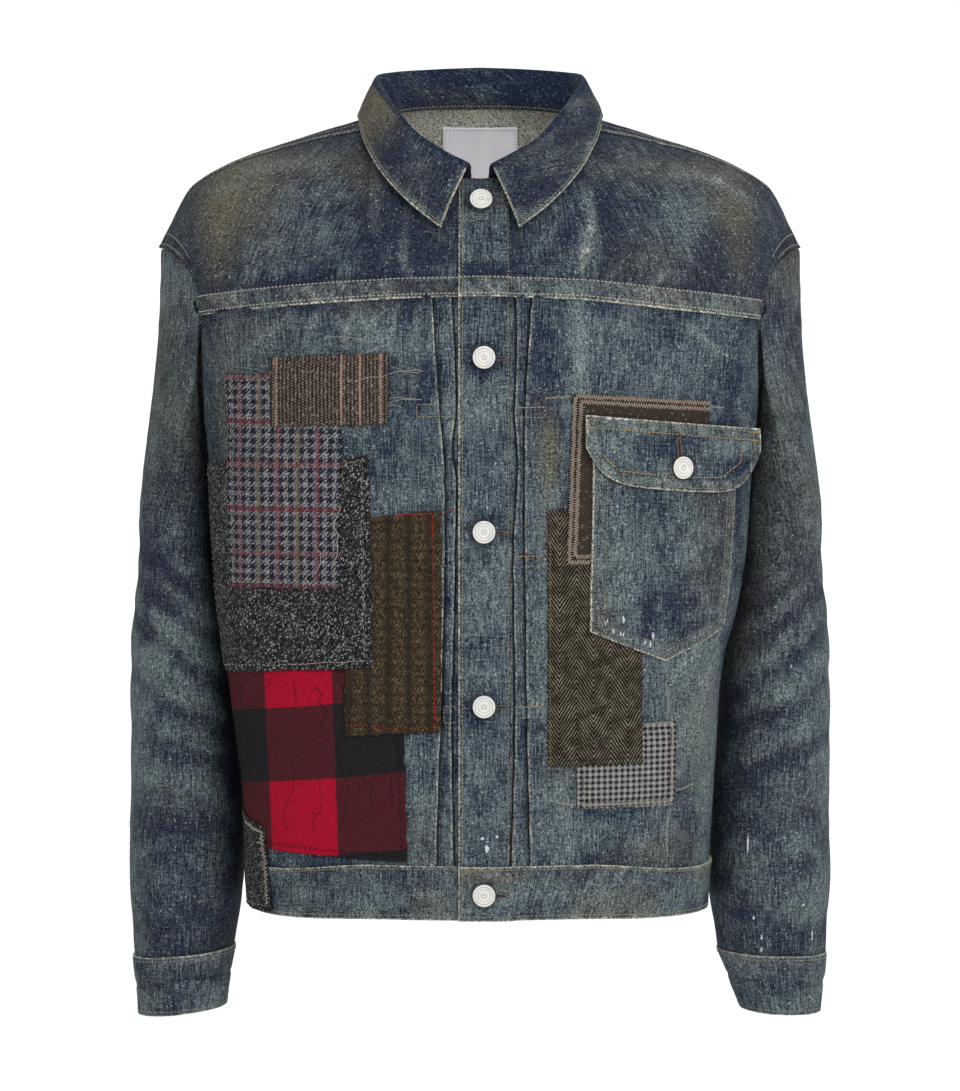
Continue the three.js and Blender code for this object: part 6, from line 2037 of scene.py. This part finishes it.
# Brown wool: a zigzag border that runs on over the denim at both ends
brown = on_patch("brown_wool")
for inset in (1.6, 6.0):
    zigzag_on(brown, "pink", [(177, -223 - inset), (71 + inset, -217 - inset), (66 + inset, -347 + inset),
                              (100, -347 + inset)], 3.6, 1.9, 0.4, seed=17 + int(inset))
zigzag_on(on_left, "pale", [(72, -218.5), (60, -219.5), (50, -220)], 1.6, 2.4, 0.26, seed=21)
zigzag_on(on_left, "pale", [(176, -226), (184, -228), (190, -228)], 1.6, 2.4, 0.26, seed=22)

# Herringbone and small check: pale running threads
bone = on_patch("herringbone")
for start, end in (((54, -388), (90, -372)), ((54, -420), (100, -410)), ((54, -448), (82, -436)),
                   ((70, -462), (124, -448)), ((62, -492), (120, -470)), ((56, -340), (66, -343)),
                   ((53, -318), (66, -316)), ((90, -356), (84, -350))):
    sew_on(bone, "frayed", [start, end], 3.8, 3.2, 0.26, seed=int(-start[1]), wavy=0.4)
sew_on(bone, "dark", [(53.5, -308), (124, -303)], 3.2, 2.6, 0.3, seed=25, wavy=0.4)
sew_on(bone, "khaki", [(53.5, -312), (53.8, -500)], 2.6, 1.5, 0.26, seed=26, wavy=0.3)
sew_on(bone, "dark", [(54, -499), (123, -498)], 3.2, 2.6, 0.3, seed=27, wavy=0.4)
for start, end in (((30, -412), (50, -408)), ((44, -424), (52, -423)), ((30, -362), (48, -360)),
                   ((32, -318), (50, -314))):
    zigzag_on(on_left, "frayed", [start, end], 1.4, 2.4, 0.22, seed=int(-start[1]))
check = on_patch("small_check")
zigzag_on(check, "pale", [(78, -474), (148, -471.5)], 1.8, 2.6, 0.26, seed=31)
zigzag_on(check, "pale", [(148, -474), (148, -534), (78, -533.5)], 1.8, 2.6, 0.28, seed=32)
zigzag_on(on_left, "pale", [(152, -526), (160, -525), (168, -522)], 1.8, 2.6, 0.26, seed=33)
zigzag_on(on_left, "pale", [(146, -540), (145, -560), (146, -578)], 1.6, 2.8, 0.24, seed=34)
zigzag_on(on_left, "pale", [(145, -470), (146, -454), (145, -444)], 1.6, 2.8, 0.24, seed=35)
zigzag_on(on_left, "pale", [(74, -533), (64, -532), (58, -531)], 1.8, 2.6, 0.24, seed=36)

# Loose white threads over the right chest
tweed, hound, grey = on_patch("striped_tweed"), on_patch("houndstooth"), on_patch("grey_tweed")
LOOSE_THREADS = [
    (on_right, "pale", [(116, -173), (96, -175), (76, -178)], 0.24, 1.2),
    (on_right, "pale", [(70, -180), (86, -184), (100, -188)], 0.22, 1.2),
    (tweed, "pale", [(96, -209), (84, -204), (72, -203)], 0.22, 1.2),
    (on_right, "pale", [(69, -203), (56, -199), (44, -200)], 0.24, 1.2),
    (on_right, "pale", [(68.5, -196), (58, -199), (46, -201)], 0.22, 1.2),
    (on_right, "pale", [(69, -219), (58, -221), (44, -220)], 0.26, 1.2),
    (on_right, "pale", [(69, -224), (60, -222), (50, -221)], 0.22, 1.2),
    (on_right, "khaki", [(112, -243), (96, -246), (80, -248)], 0.24, 1.2),
    (on_right, "grey_thread", [(204, -198), (186, -197), (166, -201)], 0.24, 1.2),
    (grey, "khaki", [(201, -276), (205, -290), (202, -304)], 0.3, 2.0),
    (grey, "khaki", [(105, -276), (104, -284), (101, -290)], 0.26, 1.2),
    (hound, "pale", [(107, -300), (110, -318), (107, -334), (112, -352)], 0.3, 2.6),
    (hound, "pale", [(127, -334), (121, -340), (124, -352), (129, -356)], 0.26, 2.4),
    (hound, "pale", [(132, -358), (128, -364)], 0.24, 1.2),
    (grey, "pale", [(130, -370), (122, -378)], 0.24, 1.2),
    (grey, "grey_thread", [(252, -372), (236, -368), (204, -369)], 0.26, 1.2),
]
for seed, (surface, colour, points, radius, wavy) in enumerate(LOOSE_THREADS, 41):
    loose_on(surface, colour, points, radius, seed=seed, wavy=wavy)
for inset in (3.0, 6.4):
    sew_on(grey, "khaki", [(104, -266.5 - inset), (86 + inset, -264.5 - inset)], 3.4, 2.6, 0.3, seed=57)
sew_on(grey, "pale", [(91, -280), (90, -330), (88, -420)], 5.4, 3.0, 0.26, seed=58, wavy=0.8)
sew_on(grey, "pale", [(236, -432), (160, -427), (88, -421.5)], 5.0, 2.8, 0.26, seed=59, wavy=0.8)

# Red check: dark meandering quilting lines
checks = on_patch("buffalo_check")
for k, start in enumerate((66, 84, 104, 124, 146, 168, 190)):
    line = [(start + 5 * np.sin(h * 1.7 + k), -441 - 17 * h) for h in range(8)]
    loose_on(checks, "dark", line, 0.26, 0.1, seed=60 + k, wavy=3.0)
zigzag_on(on_patch("grey_corner"), "pale", [(172, -560), (168, -590), (167, -618)], 3.2, 3.0, 0.3, seed=68)
zigzag_on(on_patch("grey_corner"), "pale", [(172, -561), (200, -556)], 2.6, 3.0, 0.28, seed=69)

# ---------- buttons, buttonholes, label and paint ----------

BUTTON_PROFILE = [
    (0.01, 0), (3.4, 0), (3.4, 1.2), (7.7, 1.3), (8.4, 1.7), (8.7, 2.3), (8.6, 2.9), (8.1, 3.25),
    (7.5, 3.3), (7.1, 3.2), (6.9, 3.0), (6.7, 3.2), (6.2, 3.25), (5.0, 3.15), (4.75, 2.95), (4.5, 3.15),
    (3.6, 3.15), (2.7, 3.1), (2.5, 2.9), (2.3, 3.1), (1.3, 3.1), (0.9, 2.9), (0.5, 2.6), (0.01, 2.5),
]
BUTTON_SIDES = 48


def button_material():
    net = Net("button_face", 0.42, 0.1, 0.3)
    tarnish = net.noise(5, 3.0).rise(0.45, 0.8)
    speck = net.noise(0.9, 2.0)
    colour = net.mix(tarnish * 0.5, (0.5, 0.49, 0.46, 1), (0.36, 0.35, 0.32, 1))
    radius = net.parts(net.attribute("place", 1))[0]
    for ring, width, amount in ((6.8, 0.6, 0.6), (4.7, 0.5, 0.5), (1.6, 0.9, 0.5), (8.9, 0.7, 0.5)):
        colour = net.mix(radius.ridge(ring, width) * amount, colour, (0.13, 0.125, 0.115, 1))
    return net.finish(colour, speck, 0.12, 0.1)


MATERIALS["button"] = button_material()


def button(name, seat, normal):
    normal = unit(np.array(normal, float))
    across = unit(np.cross(normal, (0, 0, 1)))
    up = np.cross(across, normal)
    turn = np.linspace(0, 2 * np.pi, BUTTON_SIDES, endpoint=False)
    circle = np.cos(turn)[:, None] * across + np.sin(turn)[:, None] * up
    rings = [seat + circle * radius + normal * height for radius, height in BUTTON_PROFILE]
    points = np.vstack(rings)
    count = len(BUTTON_PROFILE)
    faces = lattice(count, BUTTON_SIDES, True).tolist()
    faces.append(list(range(BUTTON_SIDES))[::-1])
    faces.append([(count - 1) * BUTTON_SIDES + i for i in range(BUTTON_SIDES)])
    made = new_mesh(f"{name}_cap", points, faces, MATERIALS["button"])
    radii = np.repeat([radius for radius, height in BUTTON_PROFILE], BUTTON_SIDES)
    layer = made.data.attributes.new("place", "FLOAT_VECTOR", "POINT")
    layer.data.foreach_set("vector", np.stack([radii, 0 * radii, 0 * radii], 1).ravel())
    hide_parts(name)
    return made


def buttonhole(place_at, start, end, width=2.0, seed=1):
    """A worked hole: a dark thread sunk along the slit as its painted shadow, edged with short stitches across
    the line.
    """
    line = dense([start, end], 0.5)
    point, normal = place_at(line[:, 0], line[:, 1])
    # A dark thread tube standing in for the shadow inside the slit
    sewing.thread("dark", point[1:-1], normal[1:-1], 0.55, -0.1)
    rng = np.random.default_rng(seed)
    along = unit(np.array(end, float) - np.array(start, float))
    step = np.array([-along[1], along[0]])
    for hand in (-1, 1):
        base = dense([start, end], 0.75)
        near = base + hand * step * 0.45
        far = base + hand * step * (width / 2 + 0.45 + rng.uniform(-0.25, 0.35, (len(base), 1)))
        near += rng.uniform(-0.15, 0.15, base.shape)
        p0, normal = place_at(near[:, 0], near[:, 1])
        p1, _ = place_at(far[:, 0], far[:, 1])
        sewing.add("frayed", p0 + normal * 0.25, p1 + normal * 0.15, normal, 0.36)
    for _ in range(14):
        spot = np.array(end) + rng.uniform(-1.6, 2.2, 2)
        tip = spot + rng.uniform(-2.2, 2.2, 2)
        pair, normal = place_at(np.array([spot[0], tip[0]]), np.array([spot[1], tip[1]]))
        sewing.add("frayed", pair[:1] + normal[:1] * 0.3, pair[1:] + normal[1:] * 0.5, normal[:1], 0.2)


BUTTON_STANDOFF = 0.3
top_seat = front_yoke_point(LEFT, PLACKET_START, 0.12, 0.68) * (0, 1, 1) + (0.8, -PLACKET_LIFT - 2.0, 2.0)
button("button_1", top_seat, (0, -0.87, 0.49))
for i, height in enumerate(FRONT_BUTTONS):
    seat, facing = front_at(LEFT, np.array([3.0]), np.array([height]), BUTTON_STANDOFF)
    button(f"button_{i + 2}", seat[0], facing[0] * (1, 1, 0))
    buttonhole(on_left, (9.5, height - 0.5), (20, height - 0.8), seed=80 + i)
hem_seat = skin(LEFT, angle_at(LEFT, *HEM_BUTTON), np.array(HEM_BUTTON[1]), BAND_PROUD + BAND_STEP + 0.9)[0]
button("button_5", hem_seat, (0, -1, 0))
flap_seat, flap_normal = flap_at(*np.array(FLAP_BUTTON)[:, None], BUTTON_STANDOFF)[:2]
button("button_flap", flap_seat[0], flap_normal[0] * (1, 1, 0))
buttonhole(lambda a, b: flap_at(a, b)[:2], (150.5, -266), (149.6, -250.5), 3.0, seed=84)


def on_band(out, z):
    lift = BAND_PROUD + BAND_STEP * (1 - smooth(20, 30, out)) + 0.3
    return skin(LEFT, angle_at(LEFT, out, z), z, lift + 0 * out)


buttonhole(on_band, (10.5, -602), (20, -602.2), seed=85)
yoke_outer, yoke_normal = yoke_pieces[LEFT][1], yoke_pieces[LEFT][2]


def on_yoke(x, z):
    """Nearest point of the left front yoke to places given by x and height."""
    grid = yoke_outer.reshape(-1, 3)
    found = [np.argmin((grid[:, 0] - a) ** 2 + (grid[:, 2] - b) ** 2) for a, b in zip(x, z)]
    base, facing = grid[found], yoke_normal.reshape(-1, 3)[found]
    shift = np.stack([x, base[:, 1], z], 1) - base
    slide = facing[:, 0] * shift[:, 0] + facing[:, 2] * shift[:, 2]
    return base + shift - np.stack([0 * slide, slide / facing[:, 1], 0 * slide], 1), facing


buttonhole(on_yoke, (9.5, -70), (17, -71), seed=86)

LABEL = {"half": 31, "top": 0, "height": 62, "gap": 1.0}


def label_material():
    net = Net("label_satin", 0.55)
    net.shader.inputs["Sheen Weight"].default_value = 0.2
    across, down = net.parts(net.attribute("place", 1))[:2]
    weave = ((across * 2.6).sine() * 0.5 + (down * 2.6).sine() * 0.5)
    shade = net.noise(24, 1.0).rise(0.3, 0.7)
    colour = net.mix(shade, (0.9, 0.87, 0.96, 1), (0.97, 0.95, 0.99, 1))
    return net.finish(colour, weave, 0.15, 0.1)


MATERIALS["label"] = label_material()


def label():
    x = ladder(-31, 31, 2.4)[None, :]
    z = ladder(-62, 0, 2.4)[::-1][:, None]
    x, z = np.broadcast_arrays(x, z)
    x, z = x.astype(float), z.astype(float)
    s, v = x / 270, np.full_like(x, 0.9)
    for _ in range(60):
        point = back_yoke_point(s, v)
        v = np.clip(v + (z - point[..., 2]) / 220, 0, 1)
        s += (x - point[..., 0]) / 400
    point = back_yoke_point(s, v)
    normal = grid_normals(point, False, BACKWARD)
    lift = -DENIM - LABEL["gap"] - 0.5 * (1 + cloud(x, z, 24, 200))
    outer = point + normal * lift[..., None]
    zeros = np.zeros((*x.shape, 3))
    made = wall("label_bare", outer, outer - normal * 0.6, zeros, vec(x, z, 0 * x), "label",
                "neck_label", "label")
    inside = outer - normal * 0.6
    columns = x.shape[1]
    for line in ((3, slice(3, -3)), (slice(3, -3), 3), (slice(3, -3), columns - 4)):
        sewing.row("grey_thread", inside[line], -normal[line], 3.0, 1.7, 0.22, lift=0.05)
    return made


label_piece = label()

sleeve_outer, sleeve_normal = (grid[:, :48].reshape(-1, 3) for grid in sleeve_pieces[LEFT][1:3])


def on_sleeve(x, z):
    """Nearest point of the front of the left sleeve to places given by x and height."""
    found = [np.argmin((sleeve_outer[:, 0] - a) ** 2 + (sleeve_outer[:, 2] - b) ** 2) for a, b in zip(x, z)]
    base, facing = sleeve_outer[found], sleeve_normal[found]
    return np.stack([x, base[:, 1], z], 1), facing


def paint_drops():
    rng = np.random.default_rng(12)
    points, faces = [], []

    def drop(place_at, out, z, wide, tall, height=0.35):
        turn = np.linspace(0, 2 * np.pi, 14, endpoint=False)
        wobble = 1 + rng.uniform(-0.28, 0.28, 14)
        first = len(points)
        for size, lift in ((1.0, 0.02), (0.92, height * 0.7), (0.55, height)):
            a = out + np.cos(turn) * wide * size * wobble
            b = z + np.sin(turn) * tall * size * wobble
            at, facing = place_at(a, b)
            points.extend(at + facing * lift)
        for ring in range(2):
            for i in range(14):
                j = (i + 1) % 14
                low, high = first + ring * 14, first + (ring + 1) * 14
                faces.append((low + i, low + j, high + j, high + i))
        faces.append(tuple(first + 28 + i for i in range(14)))
        faces.append(tuple(first + i for i in range(14))[::-1])

    def on_pocket(a, b):
        return pocket_at(a / POCKET_WIDE, b / POCKET_TALL)[:2]

    for _ in range(7):
        u, v = rng.uniform(0.14, 0.42), rng.uniform(0.86, 0.955)
        drop(on_pocket, u * POCKET_WIDE, v * POCKET_TALL, rng.uniform(0.5, 1.1), rng.uniform(1.2, 2.6))
    for _ in range(3):
        drop(on_pocket, rng.uniform(10, 20), rng.uniform(130, 150), 0.5, 1.6)
    for out, z, wide, tall in ((5.5, -566, 1.8, 3.0), (2.0, -558, 1.6, 1.2), (13.0, -556.5, 1.0, 1.2)):
        drop(on_left, out, z, wide, tall)
    for out, z in ((104, -236), (110, -236.6), (97, -235.8)):
        drop(lambda a, b: flap_at(a, b)[:2], out, z, 2.4, 0.7)
    for out, z, wide, tall in ((214, -577, 0.6, 7), (219.4, -638, 0.9, 1.6), (225.8, -654, 0.8, 2.0),
                               (226, -664, 0.8, 2.6),
                               (259, -627.6, 1.0, 1.2), (267, -654, 0.7, 4.0)):
        drop(on_sleeve, out, z, wide, tall, 0.5)
    made = new_mesh("paint_drops", np.array(points), faces, MATERIALS["paint"])
    return made


paint_drops()
sewing.build()

# ---------- the cut of each piece (metres) ----------

SHEETS = [
    (front_pieces[RIGHT], (0.27, 0.43), "hung", 0.95), (front_pieces[LEFT], (0.27, 0.43), "hung", 0.95),
    (back_piece, (0.47, 0.43), "hung", 0.98), (yoke_pieces[RIGHT][0], (0.26, 0.2), "hung", 0.8),
    (yoke_pieces[LEFT][0], (0.26, 0.2), "hung", 0.8), (back_yoke_piece[0], (0.52, 0.21), "hung", 0.85),
    (sleeve_pieces[RIGHT][0], (0.34, 0.55), "hung", 0.7),
    (sleeve_pieces[LEFT][0], (0.34, 0.55), "hung", 0.7), (cuff_pieces[RIGHT], (0.22, 0.048), "hung", None),
    (cuff_pieces[LEFT], (0.22, 0.048), "hung", None), (band_piece, (0.95, 0.042), "hung", None),
    (collar_piece, (0.5, 0.1), "folded", 0.95), (pocket_piece, (0.122, 0.178), "laid", 0.92),
    (flap_piece, (0.138, 0.052), "laid", 0.9), (label_piece, (0.062, 0.062), "laid", None),
]
for made, flat, held, share in SHEETS:
    area = None if share is None else flat[0] * flat[1] * share
for name, (made, width, height) in patch_pieces.items():
    round(width * MM, 3)
    round(height * MM, 3)

# ---------- floor and light ----------

floor_mesh = bpy.data.meshes.new("floor")
floor_mesh.from_pydata([(-6, -3, -0.95), (6, -3, -0.95), (6, 7, -0.95), (-6, 7, -0.95)], [], [(0, 1, 2, 3)])
floor_net = Net("floor_paper", 1.0)
floor_net.shader.inputs["Base Color"].default_value = (0.93, 0.93, 0.93, 1)
floor_mesh.materials.append(floor_net.material)
floor_object = bpy.data.objects.new("floor", floor_mesh)
bpy.context.scene.collection.objects.link(floor_object)

world = bpy.data.worlds.new("studio")
world.use_nodes = True
world.node_tree.nodes["Background"].inputs["Color"].default_value = (1.0, 1.0, 1.0, 1)
world.node_tree.nodes["Background"].inputs["Strength"].default_value = 1.12
bpy.context.scene.world = world


def softbox(name, place, size, power):
    data = bpy.data.lights.new(name, "AREA")
    data.shape = "DISK"
    data.size = size
    data.energy = power
    made = bpy.data.objects.new(name, data)
    made.location = place
    made.rotation_euler = (Vector((0, 0, -0.35)) - Vector(place)).to_track_quat("-Z", "Y").to_euler()
    bpy.context.scene.collection.objects.link(made)


softbox("key", (0.7, -2.4, 1.2), 1.0, 34)
softbox("fill", (1.7, -2.0, 0.0), 1.6, 14)

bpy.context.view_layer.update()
